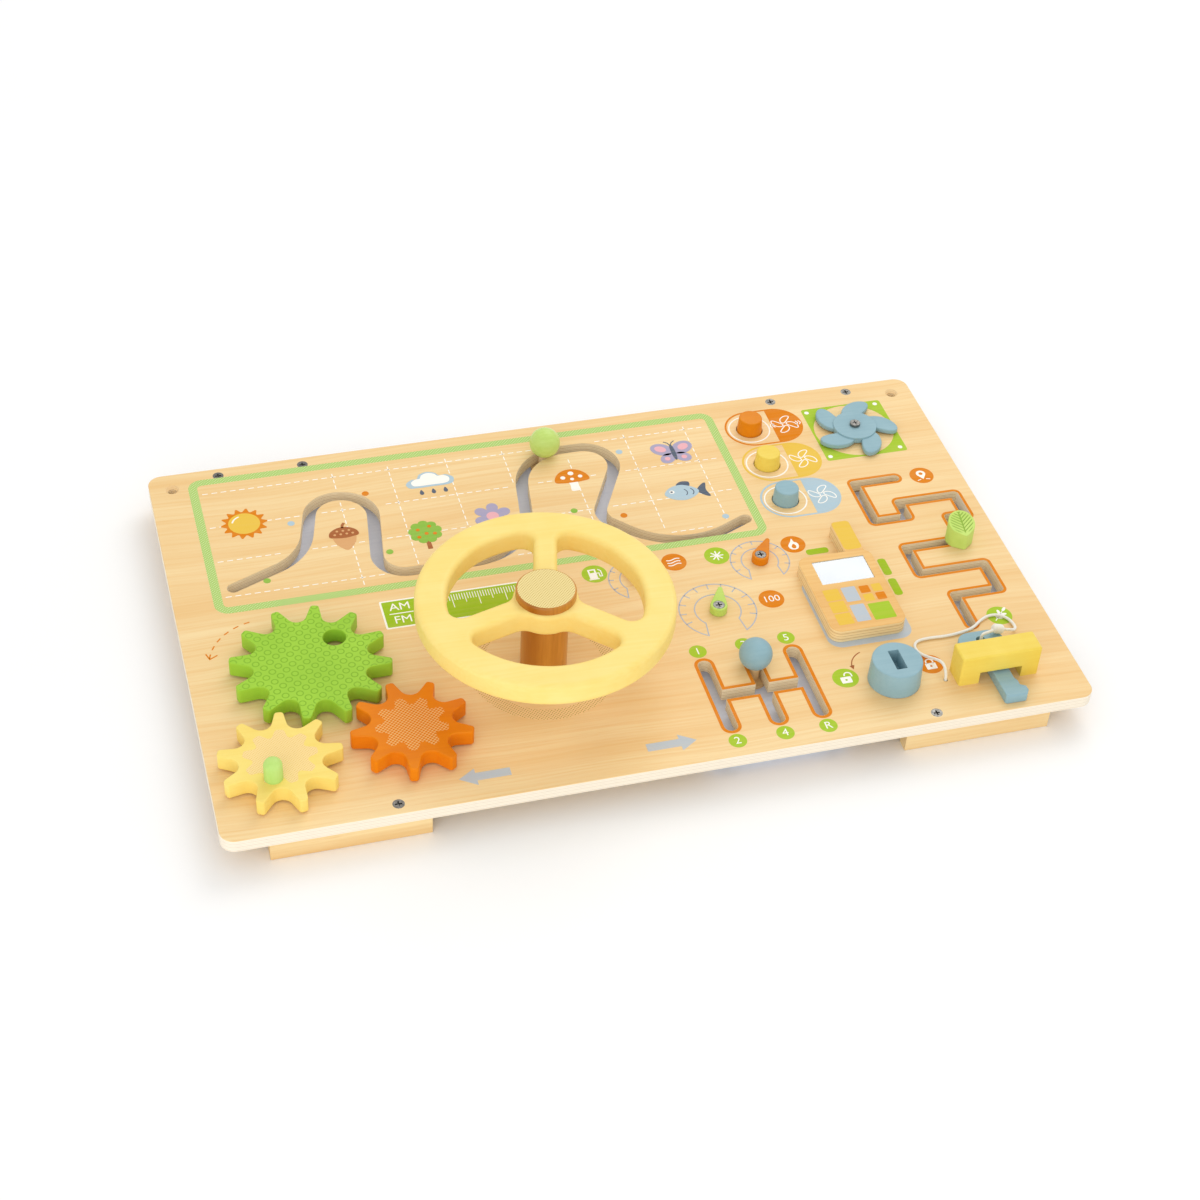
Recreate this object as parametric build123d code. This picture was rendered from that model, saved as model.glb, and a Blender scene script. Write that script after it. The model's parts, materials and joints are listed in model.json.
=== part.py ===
from build123d import *

import os
from math import acos, atan2, cos, degrees, pi, radians, sin, sqrt, tan

# Wooden busy board: a plywood panel on four feet with gears, a steering wheel, a fan, push buttons,
# a marble track, a maze, a gear gate, an ignition lock with its key, and a toy radio handset.
# Millimetres, +Z up. The origin is the centre of the footprint, on the surface that the feet stand on.
# +X runs along the panel to the right and +Y runs away from the front edge.

# ---------------------------------------------------------------- clearances
fixed_fit = 0.05  # radial, round a screw, pin or peg that stays put in its hole
running_fit = 0.06  # radial, round a shaft that turns
seat_gap = 0.3  # between two faces that turn or slide past each other
flush_drop = 0.1  # a countersunk head lies this far under its surface

# ---------------------------------------------------------------- panel and feet
panel_length = 600.0
panel_depth = 370.0
panel_thick = 10.0
panel_corner = 10.0
panel_edge_round = 0.8

foot_height = 18.0
foot_length = 105.5
foot_thick = 9.0
foot_inset = 4.0
foot_from_end = 30.5
foot_screw_spacing = 63.0
foot_edge_round = 1.0

# What sits near an edge of the panel is placed from that edge. The wheel stands in the middle of the
# length, and the dials, the maze and the handset lie in the middle of the depth.
left_end = -panel_length / 2
right_end = panel_length / 2
front_edge = -panel_depth / 2
back_edge = panel_depth / 2
panel_bottom = foot_height
panel_top = panel_bottom + panel_thick
foot_centre_x = right_end - foot_from_end - foot_length / 2
foot_centre_y = back_edge - foot_inset - foot_thick / 2

wall_hole_radius = 3.25
wall_hole_mouth = 5.0
wall_hole_sink = 2.5
wall_hole_from_end = 16.5
wall_hole_from_back = 17.5

# ---------------------------------------------------------------- wood screws
screw_shank = 1.9
screw_head = 4.0
screw_head_depth = 2.4
screw_point = 3.0
screw_point_end = 0.4
recess_span = 4.6
recess_width = 1.1
recess_depth = 1.3
foot_screw_length = 22.0
short_screw_length = 14.0

# ---------------------------------------------------------------- trays under the slots
base_thick = 4.0
base_gap = 6.0  # from the panel's underside down to the grey base
tray_side_gap = 0.7  # between a glide's rim and the tray's rails
tray_gap = 1.6  # between the track's tray and the buttons'
rail_width = 7.0
slim_rail_width = 5.0
rail_screw_inset = 12.0
base_top = panel_bottom - base_gap
base_bottom = base_top - base_thick

# ---------------------------------------------------------------- knobs that run in the slots
glide_thick = 3.0
glide_drop = 0.6  # from the panel's underside down to a glide
stem_side_gap = 0.45  # between a stem and each side of its slot
knob_radius = 11.55
knob_flat_drop = 11.0  # from a ball's centre down to its flat foot
stem_depth = 10.0  # how far a stem reaches into its ball

# ---------------------------------------------------------------- marble track
# The track is drawn as places from its left end and from the panel's back edge, and then stretched to
# the length that the buttons leave it.
track_width = 9.5
track_from_left = 44.0
track_drawing = [
    (0, 134.5),
    (54.4, 111.6),
    (69.6, 50.5),
    (114.8, 50.5),
    (101.8, 143.5),
    (214.2, 144),
    (230.9, 32.2),
    (313.8, 32.2),
    (271.6, 113.6),
    (319.6, 165.55),
    (377.5, 139.8),
]
track_drawing_radii = [45, 22, 24, 20, 50, 40, 22, 16, 62]
track_glide = 10.0
track_ball_bend = 6  # the ball rests on the arc round this point of the track
track_ball_angle = 111.0  # where on that arc, seen from its centre

# ---------------------------------------------------------------- gear gate
gate_width = 9.4
gate_lanes_from_end = [255.1, 221.6, 190.7]
gate_lanes = [right_end - lane for lane in gate_lanes_from_end]
gate_from_front = 27.8
gate_lane_length = 59.4  # between the middles of a lane's round ends
gate_neutral_from_front = 57.1
gate_front_y = front_edge + gate_from_front
gate_back_y = gate_front_y + gate_lane_length
gate_neutral_y = front_edge + gate_neutral_from_front
gate_glide = 9.5
gate_knob_from_front = 79.5
gate_knob_x = gate_lanes[1]
gate_knob_y = front_edge + gate_knob_from_front

# ---------------------------------------------------------------- maze
maze_width = 7.0
# The maze's corners, as places from the panel's right end and from the middle of its depth.
maze_drawing = [
    (52.5, 66.2),
    (84.8, 66.2),
    (84.8, 22),
    (59.4, 22),
    (59.4, 38.5),
    (15.1, 38.5),
    (15.1, 14.7),
    (28.7, 14.7),
    (28.7, -11.7),
    (73.2, -11.7),
    (73.2, -40),
    (23.6, -40),
    (23.6, -67.6),
    (57.4, -67.6),
    (57.4, -98.7),
]
maze_points = [(right_end - x, y) for x, y in maze_drawing]
maze_glide = 8.0
leaf_from_end = 32.0
leaf_run = 9  # the leaf stands on the run that starts at this corner of the maze, counted from 1
leaf_x = right_end - leaf_from_end
leaf_y = maze_points[leaf_run - 1][1]
leaf_radius = 9.95
leaf_point = 1.6  # how far the leaf's tip stands out of its round
leaf_front_height = 13.5
leaf_back_height = 20.3
leaf_vein_width = 0.9
leaf_vein_depth = 0.7
leaf_vein_spacing = 4.6
leaf_vein_angle = 52.0
leaf_vein_length = 6.4
leaf_middle_vein_length = 14.925
leaf_pin_depth = 9.0

# ---------------------------------------------------------------- gears
gear_thick = 12.0
gear_lift = 1.5
gear_spacing = 91.2
tooth_half_width = 2.75
tooth_tip_round = 2.2
gear_edge_round = 0.8

green_gear_from_left = 81.7
green_gear_from_front = 137.8
green_gear_x = left_end + green_gear_from_left
green_gear_y = front_edge + green_gear_from_front
green_gear_teeth = 12
green_gear_radius = 54.8
green_gear_valley = 31.5
green_gear_valley_round = 6.5
green_gear_phase = 17.2
finger_hole_radius = 7.9
finger_hole_reach = 27.2
finger_hole_angle = 44.0

small_gear_teeth = 9
small_gear_radius = 41.0
small_gear_valley = 21.0
small_gear_valley_round = 7.0
orange_gear_bearing = -53.9
orange_gear_phase = 20.2
yellow_gear_bearing = -112.4
yellow_gear_phase = 2.0

gear_bolt_shank = 4.0
gear_bolt_head = 7.0
gear_bolt_head_thick = 3.0
gear_bolt_cover = 3.0  # wood left over the bolt's end
washer_radius = 9.5
washer_thick = 1.5
spacer_radius = 9.0
peg_radius = 6.9
peg_height = 16.5
peg_top_round = 5.5
peg_reach = 18.6
peg_bearing = -112.7
peg_spigot_radius = 3.5
peg_spigot_depth = 7.0

# ---------------------------------------------------------------- steering wheel
wheel_x = -63.5
wheel_from_front = 111.0
wheel_y = front_edge + wheel_from_front
wheel_radius = 87.5
wheel_rim_width = 21.5
wheel_thick = 18.0
wheel_height = 48.0  # from the panel up to the wheel's underside
wheel_edge_round = 4.0
wheel_hub_radius = 22.0
spoke_width = 16.0
spoke_angles = [76.0, 196.0, 316.0]
window_rim_corner = 8.0
window_hub_corner = 11.0
column_radius = 16.0
column_washer_radius = 14.0
column_washer_thick = 1.2
wheel_bolt_shank = 5.0
wheel_bolt_head = 9.0
wheel_bolt_head_thick = 2.7
wheel_bolt_depth = 26.0
wheel_sink_depth = 5.0
hub_cap_radius = 20.5
hub_cap_thick = 5.5
hub_cap_edge_round = 1.5
hub_cap_spigot = 1.2
column_screw_shank = 3.0
column_screw_head = 8.0
column_screw_head_thick = 3.0
column_screw_depth = 18.0

# ---------------------------------------------------------------- fan
fan_from_end = 62.8
fan_from_back = 57.5
fan_x = right_end - fan_from_end
fan_y = back_edge - fan_from_back
fan_blades = 5
fan_phase = 69.0
fan_radius = 33.5
blade_half_length = 12.0
blade_half_width = 9.9
fan_thick = 4.0
fan_lift = 1.0
fan_edge_round = 1.0
fan_disc_radius = 16.8
fan_disc_thick = 1.2
fan_disc_edge_round = 0.5
fan_screw_shank = 2.0
fan_screw_head = 4.0
fan_screw_head_thick = 2.0
fan_screw_depth = 8.0
fan_spacer_radius = 5.0

# ---------------------------------------------------------------- push buttons
button_from_end = 142.2
button_from_back = 38.8
button_spacing = 43.2
button_x = right_end - button_from_end
button_names = ["orange_button", "yellow_button", "blue_button"]
button_rows = [back_edge - button_from_back - button_spacing * row for row in range(len(button_names))]
button_radius = 9.7
button_top_radius = 8.9
button_height = 12.0
button_top_round = 1.0
button_hole_radius = 10.3
button_travel = 4.0
flange_radius = 13.0
flange_thick = 2.4
tray_floor = 2.5
tray_width = 34.0
tray_end_wall = 3.0
cavity_side_gap = 1.5
spring_radius = 7.0
spring_wire = 0.6
spring_turns = 4
spring_shut = 5.8  # the spring's height when its turns touch, which stops the button

# ---------------------------------------------------------------- dial pointers
pointer_names = ["speed_pointer", "fuel_pointer", "heat_pointer"]
pointers_from_end = [(229.0, -47.0), (274.5, -2.0), (183.0, -2.0)]
pointer_places = [(right_end - x, y) for x, y in pointers_from_end]
pointer_angles = [69.6, 110.0, 55.6]
pointer_length = 19.5
pointer_round = 6.1
pointer_tip_radius = 1.6
pointer_thick = 6.0
pointer_edge_round = 0.8

# ---------------------------------------------------------------- ignition lock, key holder and key
barrel_from_end = 132.0
barrel_from_front = 44.8
barrel_x = right_end - barrel_from_end
barrel_y = front_edge + barrel_from_front
barrel_base_radius = 18.2
barrel_top_radius = 17.5
barrel_height = 19.2
barrel_top_round = 0.8
keyway_width = 8.0
keyway_length = 19.4
keyway_depth = 12.0
barrel_bolt_shank = 3.0
barrel_bolt_cover = 1.5

holder_from_end = 32.0
holder_from_front = 29.0
holder_length = 58.5
holder_depth = 18.0
holder_height = 24.3
holder_round = 1.6
left_pillar = 14.5
arch_length = 31.0
arch_height = 9.8
holder_right = right_end - holder_from_end
holder_left = holder_right - holder_length
holder_centre_y = front_edge + holder_from_front + holder_depth / 2
arch_left = holder_left + left_pillar
arch_right = arch_left + arch_length

key_thick = 7.2
key_blade_width = 12.2
key_blade_in_arch = 10.3  # from the arch's left side to the blade
key_blade_reach = 23.5  # how far the blade stands out of the holder's front
key_notches = [(0, 17), (1.4, 13.4), (1.4, 9.6), (5, 7.4), (5.2, 3.4), (3, 0)]  # out of the blade, from the tip
key_tip_corner = (1.4, 1.2)
key_bow_offset = 1.9  # from the blade's middle to the bow's
key_bow_width = 33.0
key_bow_depth = 23.8
key_bow_corner = 9.5
key_eye_radius = 3.5
key_eye_from_back = 9.0
key_edge_round = 0.8
key_stop_gap = 0.4
key_blade_left = arch_left + key_blade_in_arch
key_blade_right = key_blade_left + key_blade_width
key_tip_y = holder_centre_y - holder_depth / 2 - key_blade_reach
key_bow_x = (key_blade_left + key_blade_right) / 2 - key_bow_offset

# ---------------------------------------------------------------- toy radio handset
handset_from_end = 105.6
handset_width = 55.9
handset_front = -96.5
handset_back = -16.2
handset_thick = 10.2
handset_corner = 8.0
antenna_in = 3.9  # from the handset's right side to the antenna
antenna_width = 14.5
antenna_end = 16.5
antenna_corner = 3.5
handset_edge_round = 0.6
screen_in = 6.9  # from the handset's right side to the screen
screen_width = 39.5
screen_front = -47.5
screen_back = -23.0
screen_pocket = 1.5
screen_thick = 1.0
handset_screw_spacing = 30.0
handset_right = right_end - handset_from_end
handset_left = handset_right - handset_width
antenna_right = handset_right - antenna_in
antenna_left = antenna_right - antenna_width
screen_right = handset_right - screen_in
screen_left = screen_right - screen_width

# ---------------------------------------------------------------- string
string_radius = 1.1
string_hole_radius = 1.5
string_hole_from_end = 96.9
string_hole_from_front = 36.9
string_hole_x = right_end - string_hole_from_end
string_hole_y = front_edge + string_hole_from_front
end_knot_radius = 3.0
string_route = [  # from the top of its hole
    (0, 0, -12.5),
    (0, 0, -3.5),
    (0.1, 0.9, 4.6),
    (0.7, 7.1, 7.8),
    (-0.3, 14.2, 5.8),
    (-3.5, 20.7, 2.6),
    (-7.4, 25.9, 1.3),
    (-10, 31.1, 1.3),
    (-9.1, 36.8, 1.3),
    (-4.5, 40.3, 1.3),
    (4.6, 40.9, 1.3),
    (16.4, 39.9, 1.4),
    (28.4, 41.2, 1.4),
    (38.2, 43.7, 1.4),
    (45.5, 49.5, 1.4),
    (53.5, 53.5, 1.4),
    (61.7, 52.7, 1.4),
    (66.8, 46.9, 1.4),
    (67.9, 38.7, 2),
    (64.8, 32.5, 4.6),
    (59.2, 29.5, 8.2),
    (53.1, 29.1, 10.4),
]
string_points = [(string_hole_x + x, string_hole_y + y, panel_top + z) for x, y, z in string_route]
string_bend = 0.45  # share of the shorter run that an arc takes
key_knot_radius = 3.4
key_knot_length = 9.0
key_knot_round = 2.38
key_loop_bend = 2.2

UP = (Align.CENTER, Align.CENTER, Align.MIN)


# ---------------------------------------------------------------- shared shapes
def rod(x, y, bottom, top, radius):
    """Upright round bar from one height to another."""
    return Pos(x, y, bottom) * Cylinder(radius, top - bottom, align=UP)


def ring(x, y, bottom, top, outer, inner):
    """Washer or spacer with its hole."""
    return rod(x, y, bottom, top, outer) - rod(x, y, bottom, top, inner)


def plate(x_low, x_high, y_low, y_high, bottom, top):
    """Square-cornered block between six planes."""
    middle = Pos((x_low + x_high) / 2, (y_low + y_high) / 2, bottom)
    return middle * Box(x_high - x_low, y_high - y_low, top - bottom, align=UP)


def prism(face, bottom, top):
    """A flat outline carried from one height to another."""
    return Pos(0, 0, bottom) * extrude(face, amount=top - bottom)


def rounded(solid, radius, where=-1):
    """The solid with every edge of its top (-1) or bottom (0) face rounded."""
    return fillet(solid.edges().group_by(Axis.Z)[where], radius)


def cross_recess(span, width, depth):
    """Cross-shaped driver recess, open downwards at height 0."""
    return Box(span, width, depth, align=UP) + Box(width, span, depth, align=UP)


def aimed(solid, x, y, head_z, tip_z):
    """Stands a fastener drawn head down at its place, turned over when its tip is the lower end."""
    turned = solid if tip_z > head_z else Rot(180, 0, 0) * solid
    return Pos(x, y, head_z) * turned


def wood_screw(x, y, head_z, tip_z):
    """Countersunk cross-head screw between its flat face and its point."""
    length = abs(tip_z - head_z)
    shank = Cylinder(screw_shank, length - screw_point, align=UP)
    head = Cone(screw_head, screw_shank, screw_head_depth, align=UP)
    point = Cone(screw_shank, screw_point_end, screw_point, align=UP)
    screw = shank + head + Pos(0, 0, length - screw_point) * point
    screw -= cross_recess(recess_span, recess_width, recess_depth)
    return aimed(screw, x, y, head_z, tip_z)


def screw_cut(x, y, head_z, tip_z, shank_fit=fixed_fit, head_fit=fixed_fit):
    """The hole that a wood screw needs, with its countersink open past the head."""
    length = abs(tip_z - head_z) + fixed_fit
    shank = Cylinder(screw_shank + shank_fit, length, align=UP)
    seat = Cone(screw_head + head_fit, screw_shank + shank_fit, screw_head_depth + head_fit, align=UP)
    mouth = Pos(0, 0, -panel_thick) * Cylinder(screw_head + head_fit, panel_thick, align=UP)
    return aimed(shank + seat + mouth, x, y, head_z, tip_z)


def bolt(x, y, head_z, seat_z, tip_z, shank, head):
    """Pan-head bolt: head from head_z to seat_z, plain shank on to tip_z."""
    head_thick = abs(seat_z - head_z)
    solid = Cylinder(head, head_thick, align=UP) + Cylinder(shank, abs(tip_z - head_z), align=UP)
    solid = fillet(solid.edges().group_by(Axis.Z)[0], head_thick / 4)
    solid -= cross_recess(head, head / 5, head_thick / 2)
    return aimed(solid, x, y, head_z, tip_z)


def polar(x, y, reach, bearing):
    """The point at a distance and compass angle from another point."""
    return x + reach * cos(radians(bearing)), y + reach * sin(radians(bearing))


# ---------------------------------------------------------------- slots
def slot_face(path, width):
    """A slot of constant width with round ends along a path."""
    return make_face(offset(path, amount=width / 2, kind=Kind.ARC, side=Side.BOTH).edges())


track_start_x = left_end + track_from_left
track_end_x = button_x - tray_width / 2 - tray_gap - rail_width - tray_side_gap - track_glide
track_stretch = (track_end_x - track_start_x) / track_drawing[-1][0]
track_points = [(track_start_x + x * track_stretch, back_edge - y) for x, y in track_drawing]
track_radii = [radius * min(track_stretch, 1) for radius in track_drawing_radii]


def track_slot(width):
    return slot_face(FilletPolyline(*track_points, radius=track_radii).wire(), width)


def maze_slot(width):
    return slot_face(Polyline(*maze_points).wire(), width)


def gate_slot(width):
    """Three lanes joined by the neutral channel across their middle."""
    lane_length = gate_back_y - gate_front_y
    lane_middle = (gate_back_y + gate_front_y) / 2
    lane = Rot(0, 0, 90) * SlotCenterToCenter(lane_length, width)
    channel_x = (gate_lanes[0] + gate_lanes[-1]) / 2
    slot = Pos(channel_x, gate_neutral_y) * Rectangle(gate_lanes[-1] - gate_lanes[0], width)
    for lane_x in gate_lanes:
        slot += Pos(lane_x, lane_middle) * lane
    return slot


def bend_centre(before, corner, after, radius):
    """Centre of the arc that rounds a corner of a path."""
    inward = Vector(*before) - Vector(*corner)
    onward = Vector(*after) - Vector(*corner)
    half = radians(inward.get_angle(onward)) / 2
    middle = (inward.normalized() + onward.normalized()).normalized()
    return Vector(*corner) + middle * (radius / sin(half))


def track_ball_place():
    """Centre of the arc that the ball runs round, and where the ball rests on it."""
    before, corner, after = track_points[track_ball_bend - 1 : track_ball_bend + 2]
    radius = track_radii[track_ball_bend - 1]
    centre = bend_centre(before, corner, after, radius)
    x, y = polar(centre.X, centre.Y, radius, track_ball_angle)
    return centre, x, y


# ---------------------------------------------------------------- trays of grey board under the slots
def tray_bounds(slot, width, glide, side_rail):
    """Outer rectangle of a tray: the slot, the glide's rim, the side gap and the rails."""
    box = slot.bounding_box()
    room = glide - width / 2 + tray_side_gap
    low_x = box.min.X - room - side_rail
    high_x = box.max.X + room + side_rail
    return low_x, high_x, box.min.Y - room - rail_width, box.max.Y + room + rail_width


def tray_screw_places(bounds, count):
    """Screws along the front and back rails."""
    low_x, high_x, low_y, high_y = bounds
    first = low_x + rail_screw_inset
    step = (high_x - low_x - 2 * rail_screw_inset) / (count - 1)
    rows = [low_y + rail_width / 2, high_y - rail_width / 2]
    return [(first + step * index, row) for row in rows for index in range(count)]


def tray_base(bounds, screws):
    base = plate(*bounds, base_bottom, base_top)
    for x, y in screws:
        base -= screw_cut(x, y, base_bottom + flush_drop, base_top + short_screw_length)
    return base


def tray_frame(bounds, side_rail, screws):
    low_x, high_x, low_y, high_y = bounds
    frame = plate(*bounds, base_top, panel_bottom)
    hollow = (low_x + side_rail, high_x - side_rail, low_y + rail_width, high_y - rail_width)
    frame -= plate(*hollow, base_top, panel_bottom)
    for x, y in screws:
        frame -= rod(x, y, base_top, panel_bottom, screw_shank + fixed_fit)
    return frame


# ---------------------------------------------------------------- knobs and their glides
def glide_pin(x, y, stem, top, glide):
    """Turned pin: a round glide under the panel and a stem up through the slot into the knob."""
    glide_top = panel_bottom - glide_drop
    return rod(x, y, glide_top - glide_thick, glide_top, glide) + rod(x, y, glide_top, top, stem)


def ball_knob(x, y, stem):
    """Wooden ball with a flat foot and a blind hole for its stem."""
    foot = panel_top + seat_gap
    centre = foot + knob_flat_drop
    ball = Pos(x, y, centre) * Sphere(knob_radius)
    ball &= rod(x, y, foot, centre + knob_radius, knob_radius)
    return ball - rod(x, y, foot, foot + stem_depth + fixed_fit, stem + fixed_fit)


def leaf_outline():
    """Round knob drawn out to a blunt point at the front."""
    tip = Vector(0, -leaf_radius - leaf_point)
    spread = leaf_radius * sin(radians(leaf_vein_angle))
    shoulder = -leaf_radius * cos(radians(leaf_vein_angle))
    point = make_face(Polyline((-spread, shoulder), tip, (spread, shoulder), close=True))
    return Circle(leaf_radius) + point


def leaf_knob(stem):
    """Leaf-shaped knob whose top slopes to the front, with veins cut into the slope."""
    foot = panel_top + seat_gap
    slope = degrees(atan2(leaf_back_height - leaf_front_height, 2 * leaf_radius))
    middle_height = (leaf_front_height + leaf_back_height) / 2
    knob = extrude(leaf_outline(), amount=leaf_back_height + leaf_radius)
    top = Pos(0, 0, middle_height) * Rot(slope, 0, 0)
    knob -= top * Box(4 * leaf_radius, 4 * leaf_radius, 2 * leaf_radius, align=UP)
    vein_floor = Pos(0, 0, -leaf_vein_depth)
    knob -= top * vein_floor * Box(leaf_vein_width, leaf_middle_vein_length, 2 * leaf_vein_depth, align=UP)
    side_vein = Box(leaf_vein_length, leaf_vein_width, 2 * leaf_vein_depth)
    for row in (-1, 0, 1):
        for side in (-1, 1):
            reach = leaf_vein_length / 2
            turn = side * leaf_vein_angle
            turned = Rot(0, 0, 90 - turn) * Pos(reach, 0, 0) * side_vein
            knob -= top * Pos(0, row * leaf_vein_spacing - reach / 2, 0) * turned
    knob -= Cylinder(stem + fixed_fit, leaf_pin_depth + fixed_fit, align=UP)
    return Pos(leaf_x, leaf_y, foot) * knob


# ---------------------------------------------------------------- gears
gear_bottom = panel_top + gear_lift
gear_top = gear_bottom + gear_thick


def gear_outline(teeth, tip_radius, valley_radius, valley_round, phase):
    """Blunt teeth with straight flanks that run down to rounded valleys."""
    rise = sqrt(tip_radius**2 - tooth_half_width**2)
    points = []
    for tooth in range(teeth):
        angle = phase + 360 / teeth * tooth
        points.append(Vector(rise, -tooth_half_width).rotate(Axis.Z, angle))
        points.append(Vector(rise, tooth_half_width).rotate(Axis.Z, angle))
        points.append(Vector(valley_radius, 0).rotate(Axis.Z, angle + 180 / teeth))
    outline = make_face(Polyline(*points, close=True))
    between = (tip_radius + valley_radius) / 2
    valleys = [v for v in outline.vertices() if Vector(v).length < between]
    outline = fillet(valleys, valley_round)
    tips = [v for v in outline.vertices() if Vector(v).length > tip_radius - tooth_tip_round / 2]
    return fillet(tips, tooth_tip_round)


def gear(x, y, outline, extra_cut=None):
    """Gear of thick plywood with rounded edges and a blind hole for its bolt."""
    solid = Pos(x, y) * prism(outline, gear_bottom, gear_top)
    solid = rounded(solid, gear_edge_round)
    if extra_cut:
        solid -= extra_cut
    bore_top = gear_top - gear_bolt_cover
    return solid - rod(x, y, gear_bottom, bore_top + fixed_fit, gear_bolt_shank + fixed_fit)


def gear_bolt(x, y):
    """Shoulder bolt that holds a gear from under the panel and turns with it."""
    seat = panel_bottom - washer_thick - seat_gap
    top = gear_top - gear_bolt_cover
    return bolt(x, y, seat - gear_bolt_head_thick, seat, top, gear_bolt_shank, gear_bolt_head)


orange_gear_x, orange_gear_y = polar(green_gear_x, green_gear_y, gear_spacing, orange_gear_bearing)
yellow_gear_x, yellow_gear_y = polar(green_gear_x, green_gear_y, gear_spacing, yellow_gear_bearing)
gear_centres = [
    (green_gear_x, green_gear_y),
    (orange_gear_x, orange_gear_y),
    (yellow_gear_x, yellow_gear_y),
]


def green_gear():
    outline = gear_outline(
        green_gear_teeth, green_gear_radius, green_gear_valley, green_gear_valley_round, green_gear_phase
    )
    hole_x, hole_y = polar(green_gear_x, green_gear_y, finger_hole_reach, finger_hole_angle)
    hole = rod(hole_x, hole_y, gear_bottom, gear_top, finger_hole_radius)
    return gear(green_gear_x, green_gear_y, outline, hole)


def small_gear(x, y, phase, extra_cut=None):
    outline = gear_outline(
        small_gear_teeth, small_gear_radius, small_gear_valley, small_gear_valley_round, phase
    )
    return gear(x, y, outline, extra_cut)


def gear_peg(x, y):
    """Turning peg with a domed top and a spigot glued into the yellow gear."""
    peg = rounded(rod(x, y, gear_top, gear_top + peg_height, peg_radius), peg_top_round)
    return peg + rod(x, y, gear_top - peg_spigot_depth, gear_top, peg_spigot_radius)


def peg_hole(x, y):
    """Blind hole for the peg's spigot."""
    depth = peg_spigot_depth + fixed_fit
    return rod(x, y, gear_top - depth, gear_top, peg_spigot_radius + fixed_fit)


# ---------------------------------------------------------------- steering wheel
wheel_bottom = panel_top + wheel_height
wheel_top = wheel_bottom + wheel_thick
column_top = wheel_bottom - seat_gap - column_washer_thick
wheel_bolt_seat = wheel_top - wheel_sink_depth + seat_gap


def wheel_windows():
    """The three gaps between the rim, the spokes and the hub, with rounded corners."""
    inner = wheel_radius - wheel_rim_width
    gaps = Circle(inner) - Circle(wheel_hub_radius)
    for angle in spoke_angles:
        gaps -= Rot(0, 0, angle) * Pos(inner, 0) * Rectangle(2 * inner, spoke_width)
    between = (inner + wheel_hub_radius) / 2
    rim_corners = [v for v in gaps.vertices() if Vector(v).length > between]
    gaps = fillet(rim_corners, window_rim_corner)
    hub_corners = [v for v in gaps.vertices() if Vector(v).length < between]
    return fillet(hub_corners, window_hub_corner)


def steering_wheel():
    """Rounded plywood ring with three spokes, bored for its bolt."""
    outline = Circle(wheel_radius) - wheel_windows()
    wheel = prism(outline, wheel_bottom, wheel_top)
    wheel = rounded(rounded(wheel, wheel_edge_round), wheel_edge_round, 0)
    sink = rod(0, 0, wheel_top - wheel_sink_depth, wheel_top, wheel_bolt_head + seat_gap)
    bore = rod(0, 0, wheel_bottom, wheel_top, wheel_bolt_shank + running_fit)
    return Pos(wheel_x, wheel_y) * (wheel - sink - bore)


def steering_column():
    """Varnished round post, bored at both ends for the wheel's bolt and its own screw."""
    post = rod(wheel_x, wheel_y, panel_top, column_top, column_radius)
    bolt_end = column_top - wheel_bolt_depth - fixed_fit
    post -= rod(wheel_x, wheel_y, bolt_end, column_top, wheel_bolt_shank + fixed_fit)
    screw_end = panel_top + column_screw_depth + fixed_fit
    return post - rod(wheel_x, wheel_y, panel_top, screw_end, column_screw_shank + fixed_fit)


def hub_cap():
    """Round cap glued over the bolt in the wheel's hub."""
    cap = rod(wheel_x, wheel_y, wheel_top, wheel_top + hub_cap_thick, hub_cap_radius)
    cap = rounded(cap, hub_cap_edge_round)
    return cap + rod(wheel_x, wheel_y, wheel_top - hub_cap_spigot, wheel_top, wheel_bolt_head)


# ---------------------------------------------------------------- fan
fan_bottom = panel_top + fan_lift
fan_top = fan_bottom + fan_thick
fan_disc_top = fan_top + fan_disc_thick


def fan_rotor():
    """Five rounded blades on a round middle."""
    outline = Circle(fan_disc_radius)
    for index in range(fan_blades):
        turn = Rot(0, 0, fan_phase + 360 / fan_blades * index)
        outline += turn * Pos(fan_radius - blade_half_length, 0) * Ellipse(blade_half_length, blade_half_width)
    rotor = rounded(prism(outline, fan_bottom, fan_top), fan_edge_round)
    bore = rod(0, 0, fan_bottom, fan_top, fan_screw_shank + running_fit)
    return Pos(fan_x, fan_y) * (rotor - bore)


def fan_disc():
    disc = rounded(rod(fan_x, fan_y, fan_top, fan_disc_top, fan_disc_radius), fan_disc_edge_round)
    return disc - rod(fan_x, fan_y, fan_top, fan_disc_top, fan_screw_shank + running_fit)


# ---------------------------------------------------------------- push buttons
flange_top = panel_bottom - seat_gap
flange_bottom = flange_top - flange_thick
cavity_floor = flange_bottom - spring_shut - button_travel
tray_bottom = cavity_floor - tray_floor
cavity_radius = flange_radius + cavity_side_gap


def push_button(y):
    """Slightly tapered button on a straight stem, with a flange that stops it under the panel."""
    cap = Cone(button_radius, button_top_radius, button_height, align=UP)
    cap = Pos(button_x, y, panel_top) * rounded(cap, button_top_round)
    stem = rod(button_x, y, flange_top, panel_top, button_radius)
    return cap + stem + rod(button_x, y, flange_bottom, flange_top, flange_radius)


def button_spring(y):
    """Steel coil spring between the tray's floor and the button's flange."""
    low = cavity_floor + 2 * spring_wire
    height = flange_bottom - low - 2 * spring_wire
    coil = Helix(height / spring_turns, height, spring_radius)
    section = Plane(origin=coil @ 0, z_dir=coil % 0) * Circle(spring_wire)
    return Pos(button_x, y, low) * sweep(section, path=coil)


def button_tray_screws():
    """The tray is screwed up through the webs between its cavities."""
    return [(button_x, (a + b) / 2) for a, b in zip(button_rows, button_rows[1:])]


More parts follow.
